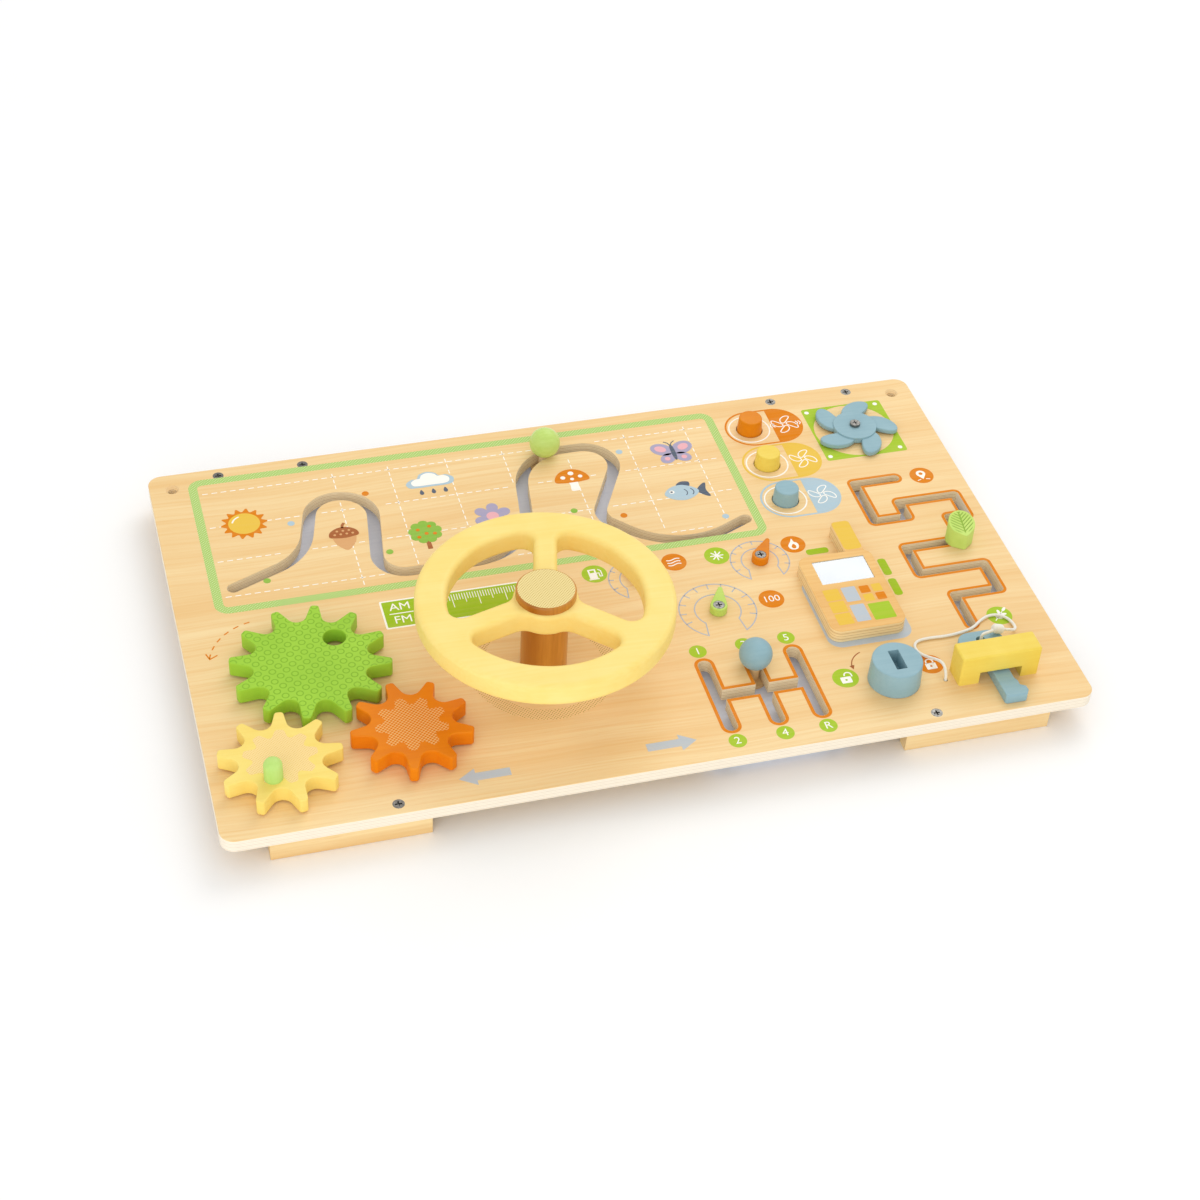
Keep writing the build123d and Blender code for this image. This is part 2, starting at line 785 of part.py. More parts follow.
def button_tray():
    """Block with one round cavity for each button's flange and spring."""
    reach = cavity_radius + tray_end_wall
    low_x = button_x - tray_width / 2
    high_x = button_x + tray_width / 2
    tray = plate(low_x, high_x, min(button_rows) - reach, max(button_rows) + reach, tray_bottom, panel_bottom)
    for y in button_rows:
        tray -= rod(button_x, y, cavity_floor, panel_bottom, cavity_radius)
    for x, y in button_tray_screws():
        tray -= screw_cut(x, y, tray_bottom + flush_drop, panel_bottom)
    return tray


# ---------------------------------------------------------------- dial pointers
pointer_bottom = panel_top + seat_gap
pointer_top = pointer_bottom + pointer_thick
pointer_screw_end = panel_top - short_screw_length / 2


def pointer(place, angle):
    """Teardrop pointer that turns round its screw."""
    reach = pointer_length - pointer_tip_radius
    lean = acos((pointer_round - pointer_tip_radius) / reach)
    left = Vector(cos(lean), sin(lean))
    right = Vector(cos(lean), -sin(lean))
    tip = Vector(reach, 0)
    outline = make_face(
        Line(left * pointer_round, tip + left * pointer_tip_radius)
        + ThreePointArc(tip + left * pointer_tip_radius, (pointer_length, 0), tip + right * pointer_tip_radius)
        + Line(tip + right * pointer_tip_radius, right * pointer_round)
        + ThreePointArc(right * pointer_round, (-pointer_round, 0), left * pointer_round)
    )
    solid = rounded(prism(Rot(0, 0, angle) * outline, pointer_bottom, pointer_top), pointer_edge_round)
    hole = screw_cut(0, 0, pointer_top - flush_drop, pointer_screw_end, running_fit, seat_gap)
    return Pos(*place) * (solid - hole)


# ---------------------------------------------------------------- ignition lock, key holder and key
barrel_bottom = panel_top + seat_gap
barrel_top = barrel_bottom + barrel_height
keyway_bottom = barrel_top - keyway_depth


def ignition_barrel():
    """Tapered barrel with a deep slot for the key and a blind hole for its bolt."""
    barrel = Cone(barrel_base_radius, barrel_top_radius, barrel_height, align=UP)
    barrel = Pos(barrel_x, barrel_y, barrel_bottom) * rounded(barrel, barrel_top_round)
    half_width = keyway_width / 2
    half_length = keyway_length / 2
    barrel -= plate(
        barrel_x - half_width,
        barrel_x + half_width,
        barrel_y - half_length,
        barrel_y + half_length,
        keyway_bottom,
        barrel_top,
    )
    bolt_end = keyway_bottom - barrel_bolt_cover + fixed_fit
    return barrel - rod(barrel_x, barrel_y, barrel_bottom, bolt_end, barrel_bolt_shank + fixed_fit)


def barrel_bolt():
    seat = panel_bottom - washer_thick - seat_gap
    tip = keyway_bottom - barrel_bolt_cover
    head = seat - gear_bolt_head_thick
    return bolt(barrel_x, barrel_y, head, seat, tip, barrel_bolt_shank, gear_bolt_head)


def holder_screw_places():
    """One screw up into the middle of each pillar."""
    return [((holder_left + arch_left) / 2, holder_centre_y), ((arch_right + holder_right) / 2, holder_centre_y)]


def key_holder():
    """Low arch that the key is stored under."""
    front = holder_centre_y - holder_depth / 2
    back = holder_centre_y + holder_depth / 2
    block = plate(holder_left, holder_right, front, back, panel_top, panel_top + holder_height)
    block = fillet(block.edges().filter_by(Axis.Z), holder_round)
    block = rounded(block, holder_round)
    block -= plate(arch_left, arch_right, front, back, panel_top, panel_top + arch_height)
    for x, y in holder_screw_places():
        block -= screw_cut(x, y, panel_bottom + flush_drop, panel_bottom + foot_screw_length)
    return block


key_stop_y = holder_centre_y + holder_depth / 2 + key_stop_gap
key_eye_y = key_stop_y + key_bow_depth - key_eye_from_back
key_bottom = panel_top + seat_gap
key_top = key_bottom + key_thick


def key_outline():
    """Blade with notches along its right edge, and a rounded bow."""
    bow_y = key_stop_y + key_bow_depth / 2
    notches = [(key_blade_right + out, key_tip_y + along) for out, along in key_notches]
    corner_x, corner_y = key_tip_corner
    tip = [(key_blade_left + corner_x, key_tip_y), (key_blade_left, key_tip_y + corner_y)]
    ends = [(key_blade_left, bow_y), (key_blade_right, bow_y)]
    blade = make_face(Polyline(*notches, *tip, *ends, close=True))
    bow = Pos(key_bow_x, bow_y) * RectangleRounded(key_bow_width, key_bow_depth, key_bow_corner)
    return blade + bow


def key():
    solid = rounded(prism(key_outline(), key_bottom, key_top), key_edge_round)
    return solid - rod(key_bow_x, key_eye_y, key_bottom, key_top, key_eye_radius)


# ---------------------------------------------------------------- toy radio handset
handset_top = panel_top + handset_thick


def handset_screw_places():
    middle_x = (handset_left + handset_right) / 2
    middle_y = (handset_front + screen_front) / 2
    return [(middle_x - handset_screw_spacing / 2, middle_y), (middle_x + handset_screw_spacing / 2, middle_y)]


def handset():
    """Plywood handset with a stub antenna and a pocket for its mirror screen."""
    body_x = (handset_left + handset_right) / 2
    body_y = (handset_front + handset_back) / 2
    body_size = (handset_right - handset_left, handset_back - handset_front)
    antenna_start = body_y
    antenna_x = (antenna_left + antenna_right) / 2
    antenna_size = (antenna_right - antenna_left, antenna_end - antenna_start)
    outline = Pos(body_x, body_y) * RectangleRounded(*body_size, handset_corner)
    antenna_y = (antenna_start + antenna_end) / 2
    outline += Pos(antenna_x, antenna_y) * RectangleRounded(*antenna_size, antenna_corner)
    solid = rounded(prism(outline, panel_top, handset_top), handset_edge_round)
    pocket = (screen_left, screen_right, screen_front, screen_back)
    solid -= plate(*pocket, handset_top - screen_pocket, handset_top)
    for x, y in handset_screw_places():
        solid -= screw_cut(x, y, panel_bottom + flush_drop, panel_bottom + short_screw_length)
    return solid


def handset_screen():
    """Thin mirror in the handset's pocket."""
    edges = (
        screen_left + fixed_fit,
        screen_right - fixed_fit,
        screen_front + fixed_fit,
        screen_back - fixed_fit,
    )
    floor = handset_top - screen_pocket
    return plate(*edges, floor, floor + screen_thick)


# ---------------------------------------------------------------- string
def string_radii():
    """Each bend's radius: the share of its shorter run, over the tangent of half its turn."""
    radii = []
    route = [Vector(*point) for point in string_points]
    for before, corner, after in zip(route, route[1:], route[2:]):
        arriving = corner - before
        leaving = after - corner
        half_turn = radians(arriving.get_angle(leaving)) / 2
        radii.append(string_bend * min(arriving.length, leaving.length) / tan(half_turn))
    return radii


def string_tube():
    """Limp string from its knot under the panel, over the board, to the knot on the key."""
    radii = string_radii()
    path = FilletPolyline(*string_points, radius=radii).wire()
    section = Plane(origin=path @ 0, z_dir=path % 0) * Circle(string_radius)
    tube = sweep(section, path=path)
    print("string bend radii", [round(radius, 1) for radius in radii])
    print("string length", round(path.length, 2))
    print("volume over section times length", tube.volume / (pi * string_radius**2 * path.length))
    return tube


def end_knot():
    """Knot that stops the string under the panel."""
    knot_z = string_points[0][2] - end_knot_radius
    knot = Pos(string_hole_x, string_hole_y, knot_z) * Sphere(end_knot_radius)
    return knot & rod(string_hole_x, string_hole_y, 0, string_points[0][2] - fixed_fit, end_knot_radius)


def key_knot():
    """Knot on the key's bow, with the loop that runs on from it and down through the eye."""
    end = Vector(*string_points[-1])
    heading = (end - Vector(*string_points[-2])).normalized()
    lie = Plane(origin=end + heading * fixed_fit, z_dir=heading)
    knot = lie * Cylinder(key_knot_radius, key_knot_length, align=UP)
    knot = fillet(knot.edges(), key_knot_round)
    loop_start = end + heading * (key_knot_length / 2)
    loop_top = Vector(key_bow_x, key_eye_y, loop_start.Z + string_radius / 2)
    loop_end = Vector(key_bow_x, key_eye_y, (key_bottom + key_top) / 2)
    path = FilletPolyline(loop_start, loop_top, loop_end, radius=key_loop_bend).wire()
    section = Plane(origin=path @ 0, z_dir=path % 0) * Circle(string_radius)
    return knot + sweep(section, path=path)


# ---------------------------------------------------------------- panel and feet
def foot_screw_places(side_x, side_y):
    """Screws of one foot: both at the back, and only the inner one at the front."""
    inner = side_x * (foot_centre_x - foot_screw_spacing / 2)
    outer = side_x * (foot_centre_x + foot_screw_spacing / 2)
    columns = [inner, outer] if side_y > 0 else [inner]
    return [(x, side_y * foot_centre_y) for x in columns]


def foot(side_x, side_y):
    """Plywood strip on edge under one end of the panel's front or back."""
    block = Box(foot_length, foot_thick, foot_height, align=UP)
    block = rounded(block, foot_edge_round, 0)
    block = Pos(side_x * foot_centre_x, side_y * foot_centre_y) * block
    for x, y in foot_screw_places(side_x, side_y):
        tip = panel_top - foot_screw_length - fixed_fit
        block -= rod(x, y, tip, panel_bottom, screw_shank + fixed_fit)
    return block


foot_sides = {
    "foot_front_left": (-1, -1),
    "foot_front_right": (1, -1),
    "foot_back_left": (-1, 1),
    "foot_back_right": (1, 1),
}


def panel_screw_places():
    return [place for sides in foot_sides.values() for place in foot_screw_places(*sides)]


def underside_screws():
    """Place, head height and tip height of every screw driven up from below."""
    screws = []
    for x, y in tray_screws:
        screws.append((x, y, base_bottom + flush_drop, base_bottom + flush_drop + short_screw_length))
    for x, y in button_tray_screws():
        screws.append((x, y, tray_bottom + flush_drop, tray_bottom + flush_drop + foot_screw_length))
    for x, y in holder_screw_places():
        screws.append((x, y, panel_bottom + flush_drop, panel_bottom + foot_screw_length))
    for x, y in handset_screw_places():
        screws.append((x, y, panel_bottom + flush_drop, panel_bottom + short_screw_length))
    return screws


def panel():
    """Plywood board with its slots, bores and screw holes."""
    board = Box(panel_length, panel_depth, panel_thick, align=UP)
    board = Pos(0, 0, panel_bottom) * fillet(board.edges().filter_by(Axis.Z), panel_corner)
    board = rounded(rounded(board, panel_edge_round), panel_edge_round, 0)
    for slot in (track_slot(track_width), gate_slot(gate_width), maze_slot(maze_width)):
        board -= prism(slot, panel_bottom, panel_top)
    wall_y = back_edge - wall_hole_from_back
    for side in (-1, 1):
        wall_x = side * (right_end - wall_hole_from_end)
        board -= rod(wall_x, wall_y, panel_bottom, panel_top, wall_hole_radius)
        sink = Cone(wall_hole_radius, wall_hole_mouth, wall_hole_sink, align=UP)
        board -= Pos(wall_x, wall_y, panel_top - wall_hole_sink) * sink
    for x, y in gear_centres:
        board -= rod(x, y, panel_bottom, panel_top, gear_bolt_shank + running_fit)
    board -= rod(barrel_x, barrel_y, panel_bottom, panel_top, barrel_bolt_shank + running_fit)
    board -= rod(wheel_x, wheel_y, panel_bottom, panel_top, column_screw_shank + fixed_fit)
    board -= rod(string_hole_x, string_hole_y, panel_bottom, panel_top, string_hole_radius)
    fan_hole_end = panel_top - fan_screw_depth - fixed_fit
    board -= rod(fan_x, fan_y, fan_hole_end, panel_top, fan_screw_shank + fixed_fit)
    for y in button_rows:
        board -= rod(button_x, y, panel_bottom, panel_top, button_hole_radius)
    for x, y in pointer_places:
        board -= rod(x, y, pointer_screw_end - fixed_fit, panel_top, screw_shank + fixed_fit)
    for x, y in panel_screw_places():
        board -= screw_cut(x, y, panel_top - flush_drop, panel_top - foot_screw_length)
    for x, y, head_z, tip_z in underside_screws():
        if head_z > panel_bottom:
            board -= screw_cut(x, y, head_z, tip_z)
        else:
            board -= rod(x, y, panel_bottom, tip_z + fixed_fit, screw_shank + fixed_fit)
    return board


# ---------------------------------------------------------------- build
tray_plans = {
    "track": (track_slot(track_width), track_width, track_glide, rail_width, 3),
    "gate": (gate_slot(gate_width), gate_width, gate_glide, rail_width, 2),
    "maze": (maze_slot(maze_width), maze_width, maze_glide, slim_rail_width, 2),
}
parts = {}
tray_screws = []
for name, (slot, width, glide, side_rail, count) in tray_plans.items():
    bounds = tray_bounds(slot, width, glide, side_rail)
    places = tray_screw_places(bounds, count)
    parts[name + "_base"] = tray_base(bounds, places)
    parts[name + "_frame"] = tray_frame(bounds, side_rail, places)
    tray_screws += places

parts["panel"] = panel()
for name, sides in foot_sides.items():
    parts[name] = foot(*sides)
parts["panel_screws"] = Compound(
    [wood_screw(x, y, panel_top - flush_drop, panel_top - foot_screw_length) for x, y in panel_screw_places()]
)
parts["underside_screws"] = Compound([wood_screw(*screw) for screw in underside_screws()])

track_stem = track_width / 2 - stem_side_gap
gate_stem = gate_width / 2 - stem_side_gap
maze_stem = maze_width / 2 - stem_side_gap
ball_foot = panel_top + seat_gap
track_centre, track_ball_x, track_ball_y = track_ball_place()
print("track arc centre", track_centre.X, track_centre.Y)
parts["track_ball"] = ball_knob(track_ball_x, track_ball_y, track_stem)
parts["track_pin"] = glide_pin(track_ball_x, track_ball_y, track_stem, ball_foot + stem_depth, track_glide)
parts["gear_knob"] = ball_knob(gate_knob_x, gate_knob_y, gate_stem)
parts["gear_knob_pin"] = glide_pin(gate_knob_x, gate_knob_y, gate_stem, ball_foot + stem_depth, gate_glide)
parts["leaf_knob"] = leaf_knob(maze_stem)
parts["leaf_pin"] = glide_pin(leaf_x, leaf_y, maze_stem, ball_foot + leaf_pin_depth, maze_glide)

peg_x, peg_y = polar(yellow_gear_x, yellow_gear_y, peg_reach, peg_bearing)
parts["green_gear"] = green_gear()
parts["orange_gear"] = small_gear(orange_gear_x, orange_gear_y, orange_gear_phase)
parts["yellow_gear"] = small_gear(yellow_gear_x, yellow_gear_y, yellow_gear_phase, peg_hole(peg_x, peg_y))
parts["gear_peg"] = gear_peg(peg_x, peg_y)
for name, centre in zip(("green", "orange", "yellow"), gear_centres):
    parts[name + "_gear_bolt"] = gear_bolt(*centre)
spacer_top = gear_bottom - seat_gap
parts["gear_spacers"] = Compound(
    [ring(x, y, panel_top, spacer_top, spacer_radius, gear_bolt_shank + seat_gap) for x, y in gear_centres]
)
washer_places = gear_centres + [(barrel_x, barrel_y)]
parts["retaining_washers"] = Compound(
    [
        ring(x, y, panel_bottom - washer_thick, panel_bottom, washer_radius, gear_bolt_shank + seat_gap)
        for x, y in washer_places
    ]
)

parts["steering_wheel"] = steering_wheel()
parts["hub_cap"] = hub_cap()
parts["steering_column"] = steering_column()
parts["column_washer"] = ring(
    wheel_x, wheel_y, column_top, column_top + column_washer_thick, column_washer_radius,
    wheel_bolt_shank + fixed_fit,
)
parts["wheel_bolt"] = bolt(
    wheel_x, wheel_y, wheel_bolt_seat + wheel_bolt_head_thick, wheel_bolt_seat,
    column_top - wheel_bolt_depth, wheel_bolt_shank, wheel_bolt_head,
)
parts["column_screw"] = bolt(
    wheel_x, wheel_y, panel_bottom - column_screw_head_thick, panel_bottom,
    panel_top + column_screw_depth, column_screw_shank, column_screw_head,
)

parts["fan"] = fan_rotor()
parts["fan_disc"] = fan_disc()
parts["fan_spacer"] = ring(
    fan_x, fan_y, panel_top, fan_bottom - seat_gap, fan_spacer_radius, fan_screw_shank + fixed_fit
)
fan_screw_seat = fan_disc_top + seat_gap
parts["fan_screw"] = bolt(
    fan_x, fan_y, fan_screw_seat + fan_screw_head_thick, fan_screw_seat,
    panel_top - fan_screw_depth, fan_screw_shank, fan_screw_head,
)

for name, y in zip(button_names, button_rows):
    parts[name] = push_button(y)
    parts[name + "_spring"] = button_spring(y)
parts["button_tray"] = button_tray()

for name, place, angle in zip(pointer_names, pointer_places, pointer_angles):
    parts[name] = pointer(place, angle)
parts["pointer_screws"] = Compound(
    [wood_screw(x, y, pointer_top - flush_drop, pointer_screw_end) for x, y in pointer_places]
)

parts["ignition_barrel"] = ignition_barrel()
parts["ignition_bolt"] = barrel_bolt()
parts["key_holder"] = key_holder()
parts["key"] = key()
parts["handset"] = handset()
parts["handset_screen"] = handset_screen()
parts["string"] = string_tube()
parts["string_end_knot"] = end_knot()
parts["string_key_knot"] = key_knot()

for name, solid in parts.items():
    export_step(solid, f"parts/{name}.step")
print(len(parts), "nodes")
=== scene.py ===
# %% [markdown]
# # A wooden busy board
# A plywood board on four feet carries toys for small hands: three gears, a steering wheel, a fan,
# buttons, dials, a lock with its key, a toy radio and three knobs that run in slots. The solid parts
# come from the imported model. This lesson gives them their paint, grain and prints, and remakes the
# turned and rounded pieces as smooth surfaces worked out with numpy.

# %% Load the frame
import json

import bmesh
import bpy
import numpy as np
from mathutils import Matrix, Vector
from mathutils.bvhtree import BVHTree
from mathutils.geometry import delaunay_2d_cdt

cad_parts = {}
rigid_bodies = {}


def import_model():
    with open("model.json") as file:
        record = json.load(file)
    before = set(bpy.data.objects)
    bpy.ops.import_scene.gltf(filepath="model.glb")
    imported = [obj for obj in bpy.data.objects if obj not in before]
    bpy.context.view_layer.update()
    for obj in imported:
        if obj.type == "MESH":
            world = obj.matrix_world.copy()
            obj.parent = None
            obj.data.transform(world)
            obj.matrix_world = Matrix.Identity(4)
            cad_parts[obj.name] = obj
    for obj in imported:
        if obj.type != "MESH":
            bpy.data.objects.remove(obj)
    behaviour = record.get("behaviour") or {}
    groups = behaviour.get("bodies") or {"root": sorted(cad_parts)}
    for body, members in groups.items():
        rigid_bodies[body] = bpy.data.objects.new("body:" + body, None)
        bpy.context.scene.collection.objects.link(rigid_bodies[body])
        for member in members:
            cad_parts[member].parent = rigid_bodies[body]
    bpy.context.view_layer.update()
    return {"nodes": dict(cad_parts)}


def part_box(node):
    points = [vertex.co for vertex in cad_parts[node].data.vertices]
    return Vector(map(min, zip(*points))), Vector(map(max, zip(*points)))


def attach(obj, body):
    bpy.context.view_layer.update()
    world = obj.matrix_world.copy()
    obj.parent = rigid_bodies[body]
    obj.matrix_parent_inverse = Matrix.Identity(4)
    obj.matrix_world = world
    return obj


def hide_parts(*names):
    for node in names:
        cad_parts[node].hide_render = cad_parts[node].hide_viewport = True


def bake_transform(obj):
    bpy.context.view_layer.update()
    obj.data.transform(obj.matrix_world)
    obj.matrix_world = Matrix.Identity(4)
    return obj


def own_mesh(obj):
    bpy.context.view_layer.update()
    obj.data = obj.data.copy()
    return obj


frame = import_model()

nodes = frame["nodes"]
scene = bpy.context.scene

# %% [markdown]
# The drawings on the board are easier to read in millimetres, so each size below is a number of
# millimetres times `MM`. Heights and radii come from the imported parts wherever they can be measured
# there, so that a piece of this script still fits when its part changes.

# %% Units and heights
MM = 0.001


def low(node):
    """Lowest corner of a part's box, as an array."""
    return np.array(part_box(node)[0])


def high(node):
    """Highest corner of a part's box, as an array."""
    return np.array(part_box(node)[1])


def middle(node):
    """Centre of a part's box: half the sum of its two corners."""
    return (low(node) + high(node)) / 2


def half_width(node):
    """Half the width of a part's box along X, which is the radius of a round part."""
    return (high(node) - low(node))[0] / 2


panel_top = high("panel")[2]
panel_bottom = low("panel")[2]
print("the board's top face is", round(panel_top / MM, 2), "mm above the floor")

# %% [markdown]
# ## Camera
# The board is seen from above its front left corner, with the camera rolled a little. A long lens
# keeps the far edge nearly as long as the near one. A Track To constraint could aim the camera, but
# it can't roll it, so the camera's three axes are worked out from three angles instead.

# %% Camera
camera_azimuth = np.radians(-17.877)
camera_elevation = np.radians(42.16)
camera_roll = np.radians(3.577)
camera_place = Vector((-374.13, -1154.32, 1109.52)) * MM
camera_lens = 68.43
camera_sensor = 36


def camera_axes(azimuth, elevation, roll):
    """Right, up and backward axes of a camera that looks along +Y at azimuth 0 and elevation 0.

    Back is (sin a cos e, -cos a cos e, sin e). Level right is the world's up crossed with back, level
    up is back crossed with right, and the roll turns these two about back.
    """
    back = Vector((
        np.sin(azimuth) * np.cos(elevation),
        -np.cos(azimuth) * np.cos(elevation),
        np.sin(elevation),
    ))
    level_right = Vector((0, 0, 1)).cross(back).normalized()
    level_up = back.cross(level_right)
    right = np.cos(roll) * level_right + np.sin(roll) * level_up
    up = -np.sin(roll) * level_right + np.cos(roll) * level_up
    return right, up, back


camera = bpy.data.objects.new("camera", bpy.data.cameras.new("camera"))
scene.collection.objects.link(camera)
turn = Matrix(camera_axes(camera_azimuth, camera_elevation, camera_roll)).transposed()
camera.matrix_world = Matrix.Translation(camera_place) @ turn.to_4x4()
camera.data.lens = camera_lens
camera.data.sensor_width = camera_sensor
scene.camera = camera
print("camera at", tuple(round(value, 3) for value in camera_place))

# %% [markdown]
# ## Light
# The light is a white room with one large soft lamp behind the board on the right, so that soft
# shadows fall forwards and to the left. A second lamp in front opens the shadows. A small sun lamp
# would draw hard edges: a shadow grows softer as its lamp grows larger.

# %% Light
room_strength = 0.80
room_colour = (1.0, 0.995, 0.985, 1)
key_place = Vector((0.95, 1.15, 1.7))
key_size = 1.5
key_power = 14.0
fill_place = Vector((-0.9, -1.9, 0.8))
fill_size = 2.0
fill_power = 16.0

scene.view_settings.view_transform = "Standard"
world = bpy.data.worlds.new("white room")
world.use_nodes = True
background = world.node_tree.nodes["Background"]
background.inputs["Color"].default_value = room_colour
background.inputs["Strength"].default_value = room_strength
scene.world = world


def soft_lamp(name, place, size, power):
    """Square lamp of that size and power that faces the board's middle."""
    lamp = bpy.data.lights.new(name, "AREA")
    lamp.size = size
    lamp.energy = power
    holder = bpy.data.objects.new(name, lamp)
    scene.collection.objects.link(holder)
    facing = place.to_track_quat("Z", "Y").to_matrix().to_4x4()
    holder.matrix_world = Matrix.Translation(place) @ facing


soft_lamp("key_lamp", key_place, key_size, key_power)
soft_lamp("fill_lamp", fill_place, fill_size, fill_power)
print("room", room_strength, "key", key_power, "W, fill", fill_power, "W")

# %% [markdown]
# ## Finishes
# A finish is a small graph of shader nodes. `node` adds one node and plugs its inputs, so a graph
# reads from its coordinates to its colour. All patterns read Object coordinates: every piece's object
# stands at the origin, so these are places on the board in metres. A picture could be wrapped round
# the pieces instead, but a pattern that is worked out has no seams and stays sharp from nearby.

# %% Node helpers
coat_roughness = 0.25


def linear(code):
    """Linear colour of a six-digit web colour.

    A channel c above 0.04045 becomes ((c + 0.055) / 1.055) to the power 2.4, and a darker one c / 12.92.
    """
    c = np.array([int(code[start : start + 2], 16) for start in (0, 2, 4)]) / 255
    values = np.where(c > 0.04045, ((c + 0.055) / 1.055) ** 2.4, c / 12.92)
    return (*values.tolist(), 1.0)


def node(tree, kind, inputs=(), **settings):
    """Adds a shader node. Each input is a number, a colour or another node's output."""
    made = tree.nodes.new(kind)
    for name, value in settings.items():
        setattr(made, name, value)
    for name, value in dict(inputs).items():
        if isinstance(value, bpy.types.NodeSocket):
            tree.links.new(value, made.inputs[name])
        else:
            made.inputs[name].default_value = value
    return made


def calc(tree, operation, *values):
    """Result of a Math node on up to three values."""
    return node(tree, "ShaderNodeMath", enumerate(values), operation=operation).outputs[0]


def blended(tree, share, first, second):
    """Colour that runs from the first to the second as share goes from 0 to 1."""
    mix = node(tree, "ShaderNodeMix", {0: share, 6: first, 7: second}, data_type="RGBA")
    return mix.outputs[2]


def spread(tree, value, from_low, from_high, to_low=0.0, to_high=1.0):
    """Value carried from one range to another and held inside it."""
    inputs = {0: value, 1: from_low, 2: from_high, 3: to_low, 4: to_high}
    return node(tree, "ShaderNodeMapRange", inputs).outputs[0]


def noise(tree, place, scale, detail=2.0, stretch=(1, 1, 1), roughness=0.5):
    """Cloudy value from 0 to 1 with that many clouds to the metre, times its stretch along X, Y and Z."""
    mapped = node(tree, "ShaderNodeMapping", {0: place, 3: stretch}).outputs[0]
    inputs = {"Vector": mapped, "Scale": scale, "Detail": detail, "Roughness": roughness}
    return node(tree, "ShaderNodeTexNoise", inputs).outputs[0]


def facing_up(tree):
    """Z part of the surface's normal: 1 where it faces up, 0 on a wall and -1 below."""
    normal = node(tree, "ShaderNodeNewGeometry").outputs["Normal"]
    return node(tree, "ShaderNodeSeparateXYZ", {0: normal}).outputs["Z"]


def new_finish(name, roughness, coat=0.0, shine=0.12):
    """Material with its node tree and its shader, and its Object coordinates."""
    finish = bpy.data.materials.new(name)
    finish.use_nodes = True
    tree = finish.node_tree
    shader = tree.nodes["Principled BSDF"]
    shader.inputs["Roughness"].default_value = roughness
    shader.inputs["Specular IOR Level"].default_value = shine
    if coat:
        shader.inputs["Coat Weight"].default_value = coat
        shader.inputs["Coat Roughness"].default_value = coat_roughness
    place = node(tree, "ShaderNodeTexCoord").outputs["Object"]
    return finish, tree, shader, place


def coloured(tree, shader, colour, height, depth):
    """Gives the surface its colour, and raises it by that depth in metres where height is 1."""
    tree.links.new(colour, shader.inputs["Base Color"])
    bump = node(tree, "ShaderNodeBump", {"Height": height, "Distance": depth, "Strength": 1.0})
    tree.links.new(bump.outputs[0], shader.inputs["Normal"])


print("helpers ready")

# %% [markdown]
# ### Wood
# Real basswood and pine show three things: broad bands where the growth rings meet the face, fine
# streaks along the grain, and short dark pores. Each is a cloud pattern squeezed across the grain. A
# Wave texture could draw the rings of a log, but sliced sheets show streaks far more than rings.

# %% Grain
bend_scale, bend_reach = 4.0, 30 * MM
band_scales, band_range = (1.6, 34.0), (0.34, 0.70)
streak_scales = 9.0, 420.0
pore_scales, pore_range = (60.0, 1500.0), (0.62, 0.78)


def grain(tree, place, along):
    """Bands, streaks and pores of wood whose grain runs along one axis (0 is X, 1 is Y, 2 is Z).

    Each has few clouds to the metre along that axis and many across it. The place is first moved along
    Y by a broad cloud pattern, so that the grain wanders.
    """
    bend = calc(tree, "MULTIPLY", noise(tree, place, bend_scale, 1.0), bend_reach)
    shift = node(tree, "ShaderNodeCombineXYZ", {"Y": bend}).outputs[0]
    bent = node(tree, "ShaderNodeVectorMath", {0: place, 1: shift}, operation="ADD").outputs[0]

    def squeezed(scales, detail, roughness):
        stretch = [scales[1]] * 3
        stretch[along] = scales[0]
        return noise(tree, bent, 1.0, detail, stretch, roughness)

    bands = squeezed(band_scales, 3.0, 0.55)
    streaks = squeezed(streak_scales, 4.0, 0.6)
    pores = squeezed(pore_scales, 1.0, 0.5)
    return bands, streaks, pores


def grained(tree, light, dark, *layers):
    """Light wood that each layer darkens in turn: its clouds, the range they are read in, its strength."""
    face = linear(light)
    for clouds, read_range, strength in layers:
        face = blended(tree, spread(tree, clouds, *read_range, 0.0, strength), face, linear(dark))
    return face


print("grain ready")

# %% [markdown]
# ### Plywood and solid wood
# Plywood's edge shows its sheets: cream wood with a thin dark glue line between them. The sheets are
# steps of the height, and they show wherever the surface doesn't face up or down. So one finish
# serves the face, the edge and the walls of the slots, and no face needs a material of its own.

# %% Plywood and solid wood
grain_depth = 0.12 * MM
lacquer_roughness, lacquer_coat = 0.42, 0.05
panel_light, panel_dark = "F6DAA5", "EABC7A"
plywood_streaks, solid_streaks = (0.42, 0.80), (0.40, 0.85)
glue_half, glue_soft = 0.04, 0.10
glue_tint, odd_sheet_tint, edge_streak_tint = 0.75, 0.15, 0.08
wobble_scale, wobble_reach = 25.0, 0.10
sanded_edge, sanded_tint = "FFFDF8", 0.45
wall_facing, face_facing = 0.35, 0.65
panel_sheets, handset_sheets = 7, 4
sanded_rim = 12 * MM


